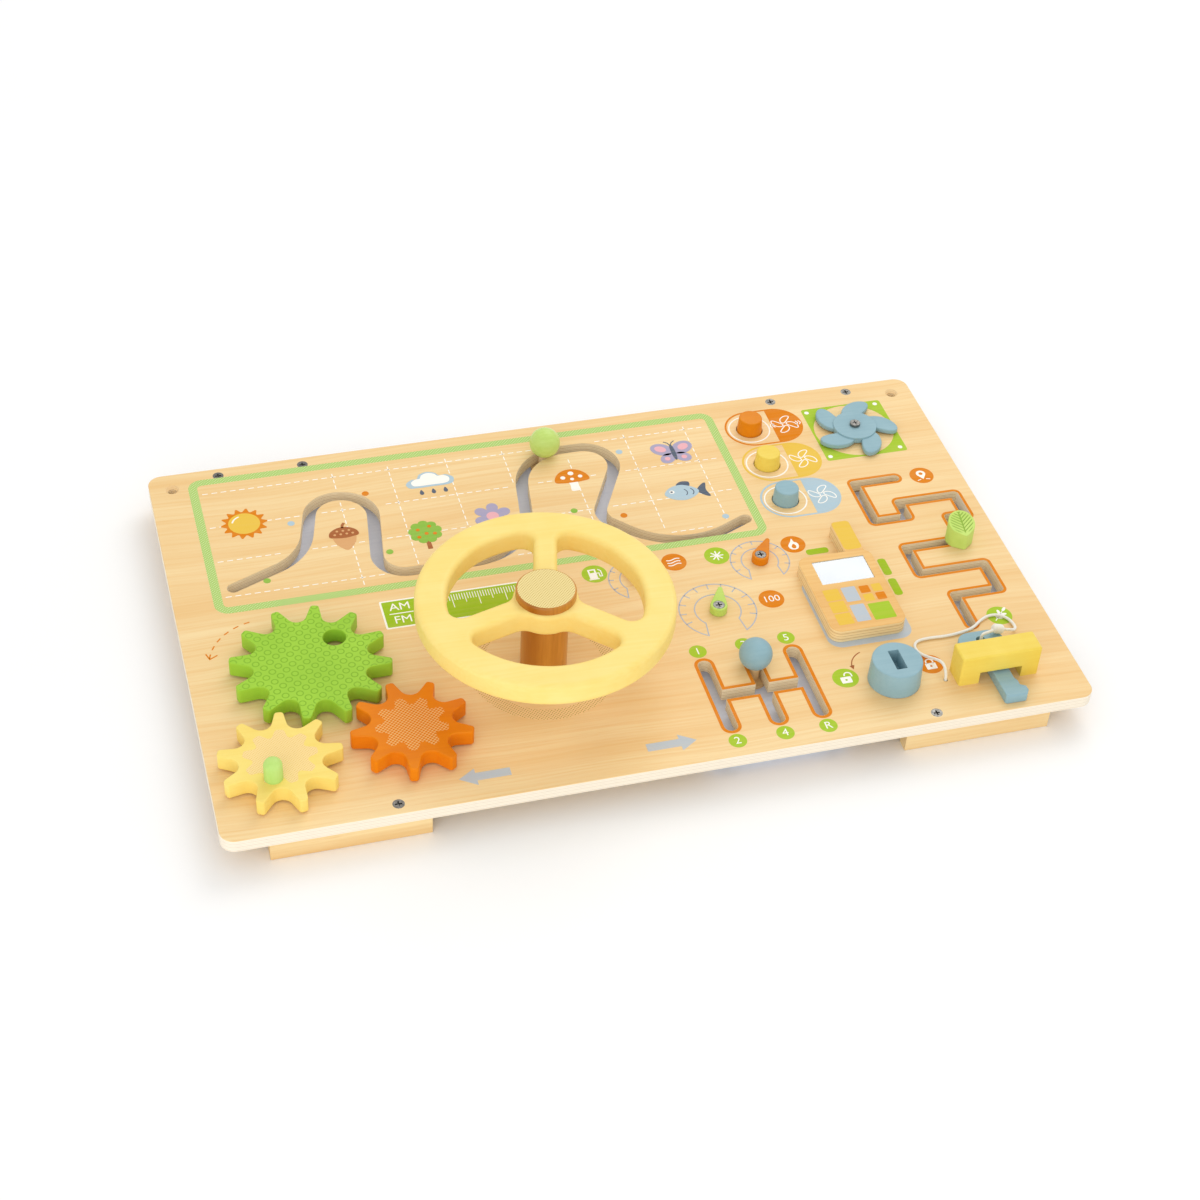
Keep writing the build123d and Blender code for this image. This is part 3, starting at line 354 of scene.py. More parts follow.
def plywood(name, light, dark, edge_light, edge_dark, bottom, top, sheets, rim=0.0):
    """Lacquered plywood whose edges show its sheets between two heights.

    With h as the share of the thickness times the number of sheets, a glue line lies where h is within
    a few hundredths of a whole number. Within rim of the board's outline the edge is paler, because the
    sanded outer edge has no burnt wood, and the slots' walls do.
    """
    finish, tree, shader, place = new_finish(name, lacquer_roughness, lacquer_coat)
    bands, streaks, pores = grain(tree, place, 0)
    face = grained(
        tree, light, dark, (bands, band_range, 0.6), (streaks, plywood_streaks, 0.75), (pores, pore_range, 0.4)
    )
    split = node(tree, "ShaderNodeSeparateXYZ", {0: place})
    above = calc(tree, "SUBTRACT", split.outputs["Z"], bottom)
    share = calc(tree, "MULTIPLY", above, sheets / (top - bottom))
    wobble = calc(tree, "MULTIPLY_ADD", noise(tree, place, wobble_scale), wobble_reach, -wobble_reach / 2)
    from_line = calc(tree, "PINGPONG", calc(tree, "ADD", share, wobble), 0.5)
    glue = spread(tree, from_line, glue_half, glue_soft, 1.0, 0.0)
    odd = calc(tree, "GREATER_THAN", calc(tree, "PINGPONG", share, 1.0), 0.5)
    edge = linear(edge_light)
    for shown, tint in ((odd, odd_sheet_tint), (streaks, edge_streak_tint), (glue, glue_tint)):
        edge = blended(tree, calc(tree, "MULTIPLY", shown, tint), edge, linear(edge_dark))
    if rim:
        beyond = [
            calc(tree, "SUBTRACT", calc(tree, "ABSOLUTE", split.outputs[axis]), reach - rim)
            for axis, reach in zip("XY", high("panel"))
        ]
        outer = calc(tree, "GREATER_THAN", calc(tree, "MAXIMUM", *beyond), 0.0)
        edge = blended(tree, calc(tree, "MULTIPLY", outer, sanded_tint), edge, linear(sanded_edge))
    side = spread(tree, calc(tree, "ABSOLUTE", facing_up(tree)), wall_facing, face_facing, 1.0, 0.0)
    height = calc(tree, "SUBTRACT", streaks, calc(tree, "MULTIPLY", glue, side))
    coloured(tree, shader, blended(tree, side, face, edge), height, grain_depth)
    return finish


def solid_wood(name, light, dark, along, roughness=0.45, coat=0.05):
    """Wood with its grain along one axis and no sheets."""
    finish, tree, shader, place = new_finish(name, roughness, coat)
    bands, streaks, pores = grain(tree, place, along)
    face = grained(
        tree, light, dark, (bands, band_range, 1.0), (streaks, solid_streaks, 0.7), (pores, pore_range, 0.4)
    )
    coloured(tree, shader, face, streaks, grain_depth)
    return finish


panel_wood = plywood(
    "panel_wood", panel_light, panel_dark, "FFEECA", "B98A50",
    panel_bottom, panel_top, panel_sheets, sanded_rim,
)
handset_wood = plywood(
    "handset_wood", "F2C883", "E2A95C", "FBE3B0", "B98A48",
    low("handset")[2], high("handset")[2], handset_sheets,
)
foot_wood = solid_wood("foot_wood", "F6DCA6", "E4BA7C", 0)
plain_wood = solid_wood("plain_wood", "EED6AC", "D6B280", 0, 0.6, 0.0)
brown_wood = solid_wood("brown_wood", "D9973A", "A8661C", 2, 0.3, 0.5)
print("wood finishes ready")

# %% [markdown]
# ### Paint
# The toys are painted in satin colours over wood, so a trace of grain and a fine orange peel stay in
# the surface. A perfectly even colour would look like plastic, so the paint also drifts between two
# shades and two degrees of gloss.

# %% Paint
paint_depth = 0.06 * MM
peel_scale = 900.0
drift_scale, drift_range = 40.0, (0.30, 0.65)
gloss_scale = 300.0


def satin_paint(name, colour, deeper, along=0, roughness=0.40, coat=0.08):
    """Satin paint over wood: its colour drifts a little, and its surface has a fine peel."""
    finish, tree, shader, place = new_finish(name, roughness, coat)
    streaks = grain(tree, place, along)[1]
    grain_share = calc(tree, "MULTIPLY", streaks, 0.4)
    drift = calc(tree, "MULTIPLY_ADD", noise(tree, place, drift_scale, 3.0), 0.5, grain_share)
    shade = blended(tree, spread(tree, drift, *drift_range), linear(colour), linear(deeper))
    gloss = noise(tree, place, gloss_scale, 2.0)
    rough = spread(tree, gloss, 0.3, 0.7, roughness - 0.06, roughness + 0.08)
    tree.links.new(rough, shader.inputs["Roughness"])
    peel = calc(tree, "MULTIPLY", noise(tree, place, peel_scale, 2.0), 0.5)
    coloured(tree, shader, shade, calc(tree, "ADD", peel, streaks), paint_depth)
    return finish


green_paint = satin_paint("green_paint", "CBE482", "B9D966", 0, 0.28, 0.3)
peg_paint = satin_paint("peg_paint", "C6E686", "B2DA70", 2)
leaf_paint = satin_paint("leaf_paint", "C6E070", "B4D45C")
blue_paint = satin_paint("blue_paint", "98B9C2", "8AADB8")
yellow_paint = satin_paint("yellow_paint", "FCE48E", "F9DA78")
holder_paint = satin_paint("holder_paint", "F4DA66", "EBCB4C")
orange_paint = satin_paint("orange_paint", "E58A10", "D97B06")
orange_gear_paint = satin_paint("orange_gear_paint", "EE8A0C", "E27806")
yellow_gear_paint = satin_paint("yellow_gear_paint", "FAE382", "F5D66C")
print("satin paints ready")

# %% [markdown]
# ### Ink, dots and rings
# The prints are thin ink, and let the streaks of the wood show through. Some of them are fields of
# small dots, as a printer's screen makes them, and the green gear has a field of rings. Thousands of
# dots could be modelled, but one texture that knows the distance to the nearest point of a lattice
# draws them all.

# %% Ink, dots and rings
ink_depth, dot_depth, ring_depth = 0.08 * MM, 0.04 * MM, 0.05 * MM
ink_roughness, ink_shine = 0.6, 0.03
ink_streaks, ink_thinness = (0.35, 0.80), (0.02, 0.16)
lattice_turn = 0.785
dot_inside, dot_outside = 0.85, 1.15


def ink(name, colour):
    """Printed ink with 2% to 16% of the board's wood in it, the most where the wood's streaks lie."""
    finish, tree, shader, place = new_finish(name, ink_roughness, shine=ink_shine)
    bands, streaks, _ = grain(tree, place, 0)
    wood = grained(tree, panel_light, panel_dark, (bands, band_range, 1.0))
    thin = spread(tree, streaks, *ink_streaks, *ink_thinness)
    coloured(tree, shader, blended(tree, thin, linear(colour), wood), streaks, ink_depth)
    return finish


def lattice_distance(tree, place, spacing):
    """Distance to the nearest point of a square lattice, over the lattice's spacing.

    It is what a Voronoi texture with no randomness gives.
    """
    inputs = {0: place, 2: (0, 0, lattice_turn), 3: (1 / spacing, 1 / spacing, 0)}
    mapped = node(tree, "ShaderNodeMapping", inputs).outputs[0]
    lattice = {"Vector": mapped, "Scale": 1.0, "Randomness": 0.0}
    return node(tree, "ShaderNodeTexVoronoi", lattice, voronoi_dimensions="2D").outputs["Distance"]


def dotted_ink(name, ground, dot, spacing, radius):
    """Ink of two colours: a ground, and a dot where the lattice's distance is less than the radius."""
    finish, tree, shader, place = new_finish(name, ink_roughness, shine=ink_shine)
    edge = radius / spacing
    away = lattice_distance(tree, place, spacing)
    dots = spread(tree, away, edge * dot_inside, edge * dot_outside, 1.0, 0.0)
    coloured(tree, shader, blended(tree, dots, linear(ground), linear(dot)), dots, dot_depth)
    return finish


def ringed_paint(name, colour, line, spacing, ring, width):
    """Paint with a field of fine rings: a line where the lattice's distance is near the ring's radius."""
    finish, tree, shader, place = new_finish(name, 0.42, 0.15)
    away = lattice_distance(tree, place, spacing)
    off = calc(tree, "ABSOLUTE", calc(tree, "SUBTRACT", away, ring / spacing))
    drawn = spread(tree, off, 0.4 * width / spacing, width / spacing, 1.0, 0.0)
    shown = calc(tree, "MULTIPLY", drawn, spread(tree, facing_up(tree), 0.90, 0.98, 0.0, 0.75))
    drift = spread(tree, noise(tree, place, 30.0, 3.0), 0.3, 0.7, 0.0, 0.25)
    ground = blended(tree, drift, linear(colour), linear(line))
    shade = blended(tree, shown, ground, linear(line))
    coloured(tree, shader, shade, noise(tree, place, peel_scale, 2.0), ring_depth)
    return finish


green_gear_paint = ringed_paint("green_gear_paint", "A3D340", "7AAE26", 6.8 * MM, 2.2 * MM, 0.6 * MM)
ink_colours = {
    "orange": "E08008", "lime": "A6CA30", "radio_green": "9CC21E", "yellow": "ECC44C", "blue_grey": "BCC8D2",
    "line_grey": "B2BAC8", "light_blue": "B0CBD9", "white": "FFFDF6", "brown": "A8623A", "tan": "DDA874",
    "lilac": "A9A5C4", "pink": "EFB3BE", "navy": "4B6078", "leaf_green": "8BBF4A",
}
inks = {name: ink(name + "_ink", colour) for name, colour in ink_colours.items()}
border_ink = dotted_ink("border_ink", "AFD072", "DCE6B2", 1.65 * MM, 0.42 * MM)
ring_ink = dotted_ink("ring_ink", "F4D09A", "B9A24E", 1.7 * MM, 0.45 * MM)
orange_star_ink = dotted_ink("orange_star_ink", "F3C07C", "E67C0A", 1.9 * MM, 0.8 * MM)
yellow_star_ink = dotted_ink("yellow_star_ink", "FADD9C", "ECC470", 1.4 * MM, 0.35 * MM)
cap_ink = dotted_ink("cap_ink", "F0DC9C", "C0A254", 1.45 * MM, 0.36 * MM)
print(len(inks), "plain inks and 5 dotted ones")

# %% [markdown]
# ### Grey board, steel, mirror and cotton
# The boards under the slots are painted grey, the screws are zinc-plated steel, the radio's screen is
# a plastic mirror, and the string is white braided cotton. A slot is deep and narrow, so little of the
# room's light comes out of it again in few bounces. So the grey paint glows faintly, a painted light
# that stands in for that bounced light and costs no render time.

# %% Grey board, steel, mirror and cotton
slot_light, slot_light_strength = "B9C0D2", 0.16

grey_board = satin_paint("grey_board", "DDE2EE", "CDD3E2", 0, 0.55, 0.0)
grey_sockets = grey_board.node_tree.nodes["Principled BSDF"].inputs
# The grey board glows faintly: painted light that stands in for the light bounced out of the slots.
grey_sockets["Emission Color"].default_value = linear(slot_light)
grey_sockets["Emission Strength"].default_value = slot_light_strength


def zinc_steel():
    """Zinc plate: metal with brushed streaks and dull patches, both shades darker than bare zinc as a painted
    dark reflection.
    """
    finish, tree, shader, place = new_finish("zinc_steel", 0.35)
    shader.inputs["Metallic"].default_value = 1.0
    patches = noise(tree, place, 600.0, 3.0)
    # Both shades are darker than bare zinc: a painted dark reflection, since the white room gives the metal
    # none.
    colour = blended(tree, patches, linear("96948F"), linear("5E5C58"))
    tree.links.new(spread(tree, patches, 0.3, 0.7, 0.25, 0.5), shader.inputs["Roughness"])
    coloured(tree, shader, colour, noise(tree, place, 1.0, 2.0, (200, 4000, 400)), 0.03 * MM)
    return finish


def plastic_mirror():
    """Mirror sheet: grey sheet that half mirrors, with a faint ripple."""
    finish, tree, shader, place = new_finish("plastic_mirror", 0.2)
    shader.inputs["Metallic"].default_value = 0.5
    ripple = noise(tree, place, 45.0, 1.0)
    coloured(tree, shader, blended(tree, ripple, linear("C2C5C8"), linear("B4B8BC")), ripple, 0.1 * MM)
    return finish


def cotton():
    """Off-white cotton with a soft sheen and fine fuzz in its colour."""
    finish, tree, shader, place = new_finish("cotton", 0.85)
    shader.inputs["Sheen Weight"].default_value = 0.3
    fuzz = noise(tree, place, 1800.0, 3.0)
    coloured(tree, shader, blended(tree, fuzz, linear("FCFAF3"), linear("E6E1D2")), fuzz, 0.1 * MM)
    return finish


steel = zinc_steel()
mirror = plastic_mirror()
cotton_string = cotton()
print("steel, mirror and cotton ready")

# %% [markdown]
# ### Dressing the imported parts
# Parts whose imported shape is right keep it, and take their finish through their own material slots.
# The table lists each finish with its parts. A part that it doesn't list is a metal fastener, so steel
# is what is left over.

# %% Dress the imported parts
wardrobe = (
    (panel_wood, "panel"),
    (foot_wood, "foot_front_left foot_front_right foot_back_left foot_back_right"),
    (grey_board, "track_base gate_base maze_base"),
    (plain_wood, "track_frame gate_frame maze_frame button_tray"),
    (plain_wood, "gear_spacers fan_spacer track_pin gear_knob_pin"),
    (brown_wood, "leaf_pin hub_cap steering_column"),
    (green_paint, "track_ball"),
    (leaf_paint, "leaf_knob speed_pointer"),
    (peg_paint, "gear_peg"),
    (blue_paint, "gear_knob fan fan_disc blue_button ignition_barrel key"),
    (yellow_paint, "steering_wheel"),
    (holder_paint, "yellow_button fuel_pointer key_holder"),
    (orange_paint, "orange_button heat_pointer"),
    (green_gear_paint, "green_gear"),
    (orange_gear_paint, "orange_gear"),
    (yellow_gear_paint, "yellow_gear"),
    (handset_wood, "handset"),
    (mirror, "handset_screen"),
    (cotton_string, "string string_end_knot string_key_knot"),
)
dressed = {name: finish for finish, names in wardrobe for name in names.split()}
for name, part in nodes.items():
    part.data.materials.clear()
    part.data.materials.append(dressed.get(name, steel))
print(len(dressed), "parts dressed, and", len(nodes) - len(dressed), "of steel")

# %% [markdown]
# ## Shapes as arrays
# Three kinds of surface make nearly every toy here. A *turned* piece is a profile carried round an
# upright axis. A *plate* is an outline carried down a profile with rounded rims, closed by two flat
# caps. A *print* is a plate a tenth of a millimetre thick. Each is computed as whole arrays; a shape is
# a pair of vertices and triangles, and shapes are joined before they become a mesh. Primitives with a
# Bevel modifier could do much of this, but an outline with a formula gives each rim its exact radius.

# %% Grids and pieces
doubles_apart = 1e-7
sliver = 1e-8


def grid_skin(rings):
    """Triangles between closed rings of equally many points, listed from the top ring down.

    Point j of ring k joins points j and j + 1 of ring k + 1, anticlockwise seen from outside.
    """
    count, around = rings.shape[:2]
    index = np.arange(count * around).reshape(count, around)
    here, below = index[:-1], index[1:]
    beside, across = np.roll(here, -1, 1), np.roll(below, -1, 1)
    first = np.stack([here, below, across], -1).reshape(-1, 3)
    second = np.stack([here, across, beside], -1).reshape(-1, 3)
    return rings.reshape(-1, 3), np.vstack([first, second])


def joined(shapes):
    """One shape made of several: vertices stacked, and each triangle's numbers moved up to match."""
    shapes = list(shapes)
    starts = np.cumsum([0] + [len(points) for points, faces in shapes[:-1]])
    points = np.vstack([points for points, faces in shapes])
    return points, np.vstack([faces + start for (_, faces), start in zip(shapes, starts)])


def piece(name, shape, finish, body, replaced=(), sharp=32):
    """Mesh object of a shape, which rides on a body if one is given.

    Doubles are merged, and edges over the sharp angle in degrees stay sharp.
    """
    points, faces = shape
    mesh = bpy.data.meshes.new(name)
    mesh.from_pydata(points, [], faces)
    solid = bmesh.new()
    solid.from_mesh(mesh)
    bmesh.ops.remove_doubles(solid, verts=solid.verts, dist=doubles_apart)
    bmesh.ops.dissolve_degenerate(solid, edges=solid.edges, dist=sliver)
    solid.to_mesh(mesh)
    solid.free()
    mesh.shade_smooth()
    mesh.set_sharp_from_angle(angle=np.radians(sharp))
    mesh.materials.append(finish)
    made = bpy.data.objects.new(name, mesh)
    scene.collection.objects.link(made)
    if body:
        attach(made, body)
    if replaced:
        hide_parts(*replaced)
    return made


print("pieces ready")

# %% [markdown]
# ### Directions and turned pieces
# An outline is a list of places on the board. To move it sideways, as for a rounded rim or for the two
# sides of a line, each corner goes along its mitre, as at the corner of a picture frame. That keeps
# every side parallel to itself.

# %% Directions, mitres and turned pieces
sharpest_mitre = 0.35


def unit(vectors):
    """Vectors over their own length."""
    return vectors / np.linalg.norm(vectors, axis=1)[:, None]


def left_of(directions):
    """Directions turned a quarter to the left: (-y, x)."""
    return np.stack([-directions[:, 1], directions[:, 0]], 1)


def toward(angle):
    """Unit vectors (cos a, sin a) at some angles in radians."""
    return np.stack([np.cos(angle), np.sin(angle)], -1)


def polar(centre, reach, bearing):
    """Place at that reach from a centre, and at that bearing in degrees from the X axis."""
    return np.array(centre) + reach * toward(np.radians(bearing))


def mitre(before, after):
    """Move of a corner for each unit that its two sides move to their left.

    With the sides' left normals m and n it is (m + n) / (1 + m.n), and 1 + m.n is kept from vanishing.
    """
    return (before + after) / np.maximum(1 + (before * after).sum(1), sharpest_mitre)[:, None]


def inward(outline):
    """Mitre at each corner of a closed anticlockwise outline."""
    normal = left_of(unit(np.roll(outline, -1, 0) - outline))
    return mitre(np.roll(normal, 1, 0), normal)


def lifted(rings, heights):
    """Flat rings with a height for each, as rings in space."""
    tall = np.broadcast_to(np.array(heights)[:, None, None], rings.shape[:2] + (1,))
    return np.concatenate([rings, tall], -1)


def turned(centre, profile, around=96):
    """Profile of radius and height pairs, from the top of the axis down, carried round an upright axis.

    A point is (x + r cos t, y + r sin t, z) for t from 0 to a full turn.
    """
    radius, height = np.array(profile, float).T
    angle = np.linspace(0, 2 * np.pi, around, endpoint=False)
    return grid_skin(lifted(centre + radius[:, None, None] * toward(angle), height))


print("turned pieces ready")

# %% [markdown]
# ### Plates
# A plate's caps have holes in them, so they can't be one grid. A Delaunay triangulation fills them with
# triangles whose corners are the outlines' own points, and the caps meet the walls without a seam.

# %% Caps and plates
cap_margin = 0.3 * MM


def closing(loops, downwards=False):
    """Flat face inside the first loop and outside the others, all at one height.

    The triangles come from a Delaunay triangulation, which also tells the loops that each one lies in.
    """
    flat = [Vector(point) for point in np.vstack(loops)[:, :2].tolist()]
    ends = np.cumsum([len(loop) for loop in loops])
    areas = [list(range(end - len(loop), end)) for loop, end in zip(loops, ends)]
    areas[1:] = [area[::-1] for area in areas[1:]]
    found = delaunay_2d_cdt(flat, [], areas, 1, 1e-9)
    points = np.array([(*point, loops[0][0, 2]) for point in found[0]])
    faces = np.array([face for face, inside in zip(found[2], found[5]) if inside == [0]])
    return points, faces[:, ::-1] if downwards else faces


def plate(outer, holes, bottom, top, top_round=0.0, bottom_round=0.0, steps=5, pockets=()):
    """Flat piece between two heights, with its rims rounded.

    The outer outline runs anticlockwise and each hole clockwise, so the solid lies to their left. Ring k
    is the outline moved left by an inset at a height. Round a rim of radius r the inset is
    r (1 - sin t) and the height falls by r (1 - cos t), for t from 0 to a quarter turn. A pocket is a
    clockwise outline with the height of its floor, where its wall ends on a cap of its own.
    """
    t = np.linspace(0, np.pi / 2, steps + 1)
    insets, heights = [0.0], [top]
    if top_round:
        insets = [top_round + cap_margin, *(top_round * (1 - np.sin(t)))]
        heights = [top, *(top - top_round * (1 - np.cos(t)))]
    if bottom_round:
        insets += [*(bottom_round * (1 - np.cos(t))), bottom_round + cap_margin]
        heights += [*(bottom + bottom_round * (1 - np.sin(t))), bottom]
    else:
        insets.append(0.0)
        heights.append(bottom)
    through = 1 + len(holes)
    levels = [(insets, heights)] * through + [([0.0, 0.0], [top, floor]) for pocket, floor in pockets]
    outlines = [outer, *holes, *(pocket for pocket, floor in pockets)]
    walls = [
        lifted(outline + np.array(inset)[:, None, None] * inward(outline), height)
        for outline, (inset, height) in zip(outlines, levels)
    ]
    last_loops = [rings[-1] for rings in walls]
    caps = [closing([rings[0] for rings in walls]), closing(last_loops[:through], True)]
    caps += [closing([loop[::-1]]) for loop in last_loops[through:]]
    return joined([grid_skin(rings) for rings in walls] + caps)


def anticlockwise(outline):
    """The outline, reversed where its area, half the sum of x_i y_(i+1) - x_(i+1) y_i, is negative."""
    onward = np.roll(outline, -1, 0)
    area = (outline[:, 0] * onward[:, 1] - onward[:, 0] * outline[:, 1]).sum() / 2
    return outline if area > 0 else outline[::-1]


print("plates ready")

# %% [markdown]
# ### Outlines
# Sawn wood has straight sides and round corners, so most outlines are a few corner points and a radius
# for each.

# %% Arcs, circles and rounded corners
def arc(centre, radius, start, end, steps=12):
    """Points on a circle from one angle to another, in radians."""
    return np.array(centre) + radius * toward(np.linspace(start, end, steps))


def circle(x, y, radius, steps=48):
    """Closed anticlockwise circle."""
    return arc((x, y), radius, 0, 2 * np.pi, steps + 1)[:-1]


def rounded(corners, radii, steps=7):
    """Closed outline with an arc of its own radius at each corner.

    With a the half angle between a corner's two sides, the arc's centre lies r / sin a from the corner
    along their bisector, and it meets the sides r / tan a from the corner. Its points are the two
    meeting directions blended by sin((1 - s) f) and sin(s f) over sin f, where f is the arc's angle.
    """
    corners = np.array(corners, float)
    radii = np.broadcast_to(np.array(radii, float), len(corners))[:, None]
    back = unit(np.roll(corners, 1, 0) - corners)
    onward = unit(np.roll(corners, -1, 0) - corners)
    half = np.arccos(np.clip((back * onward).sum(1), -1, 1))[:, None] / 2
    centre = corners + unit(back + onward) * radii / np.sin(half)
    arrive = corners + back * radii / np.tan(half) - centre
    leave = corners + onward * radii / np.tan(half) - centre
    full = np.pi - 2 * half
    share = np.linspace(0, 1, steps)
    from_arrive = (np.sin((1 - share) * full) / np.sin(full))[..., None]
    from_leave = (np.sin(share * full) / np.sin(full))[..., None]
    points = centre[:, None] + from_arrive * arrive[:, None] + from_leave * leave[:, None]
    return points.reshape(-1, 2)


def oblong(left, right, front, back, radius, steps=7):
    """Rectangle with rounded corners, anticlockwise."""
    return rounded([(left, front), (right, front), (right, back), (left, back)], radius, steps)


print("outlines ready")

# %% [markdown]
# ## The steering wheel
# The wheel is sawn from thick plywood, and every rim is rounded over before it is painted. Its outline
# is one circle and three windows. A window is eight arcs and lines in a row: the rim's inner circle,
# a corner arc, a spoke's side, a corner arc, the hub's circle, and the same back again. A torus with
# three bars would be quicker, but it would leave creases where one real board runs on.

# %% Steering wheel
wheel_centre = middle("steering_wheel")[:2]
wheel_radius = half_width("steering_wheel")
wheel_bottom, wheel_top = low("steering_wheel")[2], high("steering_wheel")[2]
rim_inner = wheel_radius - 21.5 * MM
hub_radius = 22.0 * MM
spoke_half = 8.0 * MM
rim_corner = 8.0 * MM
hub_corner = 11.0 * MM
rim_round = 4.0 * MM
spoke_angles = np.radians([76.0, 196.0, 316.0])


def wheel_window(first, last):
    """Anticlockwise outline of the window between two spokes.

    A corner arc of radius c touches a circle of radius R from inside and a line spoke_half from the
    spoke's axis, so its centre is R - c from the wheel's centre and asin((half + c) / (R - c)) away from
    the spoke. At the hub the arc lies outside the circle, and R + c takes the place of R - c.
    """
    outer, inner = rim_inner - rim_corner, hub_radius + hub_corner
    outer_turn = np.arcsin((spoke_half + rim_corner) / outer)
    inner_turn = np.arcsin((spoke_half + hub_corner) / inner)
    quarter = np.pi / 2

    def corner(distance, seat, radius, start, end, steps):
        return arc(wheel_centre + distance * toward(seat), radius, start, end, steps)

    rim_start, rim_end = first + outer_turn, last - outer_turn
    hub_start, hub_end = last - inner_turn, first + inner_turn
    return np.vstack([
        arc(wheel_centre, rim_inner, rim_start, rim_end, 60)[1:-1],
        corner(outer, rim_end, rim_corner, rim_end, last + quarter, 14),
        corner(inner, hub_start, hub_corner, last + quarter, hub_start + 2 * quarter, 10),
        arc(wheel_centre, hub_radius, hub_start, hub_end, 14)[1:-1],
        corner(inner, hub_end, hub_corner, hub_end + 2 * quarter, first + 3 * quarter, 10),
        corner(outer, rim_start, rim_corner, first - quarter, rim_start, 14),
    ])


windows = [
    wheel_window(first, last)[::-1]
    for first, last in zip(spoke_angles, np.append(spoke_angles[1:], spoke_angles[0] + 2 * np.pi))
]
wheel_rim = circle(*wheel_centre, wheel_radius, 180)
wheel_shape = plate(wheel_rim, windows, wheel_bottom, wheel_top, rim_round, rim_round, 8)
piece("wheel_disc", wheel_shape, yellow_paint, "wheel", ["steering_wheel"])
print("wheel of radius", round(wheel_radius / MM, 2), "mm with", len(windows), "windows")

# %% [markdown]
# ### Hub cap
# The cap is a turned wooden disc with a dotted print on it. A print is real ink: a plate so thin that
# only its colour shows. It is sunk a little, because two faces at one height would flicker.

# %% Hub cap
cap_radius = half_width("hub_cap")
cap_top = high("hub_cap")[2]
cap_round = 1.5 * MM
cap_print_in = 1.3 * MM
print_thick = 0.06 * MM
print_sink = 0.05 * MM


def rounded_top(top, radius, rim):
    """Profile from the axis over a rim: r = R - rim (1 - sin t) and z = top - rim (1 - cos t)."""
    t = np.linspace(0, np.pi / 2, 8)
    flat = max(radius - rim - cap_margin, radius * 0.02)
    return [(0, top), (flat, top), *zip(radius - rim + rim * np.sin(t), top - rim * (1 - np.cos(t)))]


def rounded_rod(centre, bottom, top, radius, rim, around=96):
    """Upright rod whose top rim is a quarter circle."""
    return turned(centre, rounded_top(top, radius, rim) + [(radius, bottom), (0, bottom)], around)


def inked(outline, holes, base, layer=0):
    """Thin plate on a face at that height, one thickness higher for each layer below it."""
    return plate(outline, holes, base - print_sink, base + print_thick * (layer + 1))


cap_shape = rounded_rod(wheel_centre, wheel_top, cap_top, cap_radius, cap_round, 128)
piece("hub_cap_disc", cap_shape, brown_wood, "wheel", ["hub_cap"])
cap_circle = circle(*wheel_centre, cap_radius - cap_print_in, 96)
piece("hub_cap_print", inked(cap_circle, [], cap_top), cap_ink, "wheel")
print("hub cap of radius", round(cap_radius / MM, 2), "mm")

# %% [markdown]
# ## The gears
# Three plywood gears mesh on the left. A tooth is blunt, its flanks run straight down to a rounded
# valley, and the outline is a star of straight sides whose corners are all arcs. Machine gears have
# curved flanks, but these are sawn for play and mesh loosely, so straight flanks are right. The green
# gear has a finger hole, and the yellow one a turned peg.

# %% Gears
tooth_half = 2.75 * MM
tooth_tip_round = 2.2 * MM
gear_rim_round = 0.8 * MM
gear_bottom = low("green_gear")[2]
gear_top = high("green_gear")[2]
gear_spacing = 91.2 * MM
green_centre = np.array([-218.3, -47.2]) * MM
orange_centre = polar(green_centre, gear_spacing, -53.9)
yellow_centre = polar(green_centre, gear_spacing, -112.4)
green_phase, orange_phase, yellow_phase = 17.2, 20.2, 2.0
finger_hole = circle(*polar(green_centre, 27.2 * MM, 44.0), 7.9 * MM)[::-1]
large_gear = 12, 54.8 * MM, 31.5 * MM, 6.5 * MM
small_gear = 9, 41.0 * MM, 21.0 * MM, 7.0 * MM
star_print = 9, 24.5 * MM, 16.5 * MM, 2.5 * MM


def gear_outline(centre, teeth, tip, valley, valley_round, phase):
    """Star of teeth. Tooth n points along phase + 360 n / teeth, and is as wide as two tooth halves.

    A tip corner lies sqrt(tip^2 - half^2) along the tooth and half beside it, and a valley lies on the
    bearing half way to the next tooth.
    """
    bearing = np.radians(phase) + 2 * np.pi * np.arange(teeth) / teeth
    along = toward(bearing)
    beside = tooth_half * left_of(along)
    rise = np.sqrt(tip**2 - tooth_half**2)
    low_point = valley * toward(bearing + np.pi / teeth)
    corners = np.stack([rise * along - beside, rise * along + beside, low_point], 1)
    radii = np.tile([tooth_tip_round, tooth_tip_round, valley_round], teeth)
    return centre + rounded(corners.reshape(-1, 2), radii, 9)


for gear, centre, size, phase, holes, finish in (
    ("green_gear", green_centre, large_gear, green_phase, [finger_hole], green_gear_paint),
    ("orange_gear", orange_centre, small_gear, orange_phase, [], orange_gear_paint),
    ("yellow_gear", yellow_centre, small_gear, yellow_phase, [], yellow_gear_paint),
):
    outline = gear_outline(centre, *size, phase)
    shape = plate(outline, holes, gear_bottom, gear_top, gear_rim_round, gear_rim_round)
    piece(gear + "_disc", shape, finish, gear, [gear])
for gear, centre, phase, finish in (
    ("orange_gear", orange_centre, orange_phase, orange_star_ink),
    ("yellow_gear", yellow_centre, yellow_phase, yellow_star_ink),
):
    outline = gear_outline(centre, *star_print, phase)
    piece(gear + "_star", inked(outline, [], gear_top), finish, gear)

peg_radius = 6.2 * MM
peg_rim = 5.5 * MM
peg_place = polar(yellow_centre, 18.6 * MM, -112.7)
peg_shape = rounded_rod(peg_place, gear_top, high("gear_peg")[2], peg_radius, peg_rim)
piece("gear_peg_turned", peg_shape, peg_paint, "yellow_gear", ["gear_peg"])
for colour, centre in (("green", green_centre), ("orange", orange_centre), ("yellow", yellow_centre)):
    print(colour, "gear at", tuple((centre / MM).round(1).tolist()))

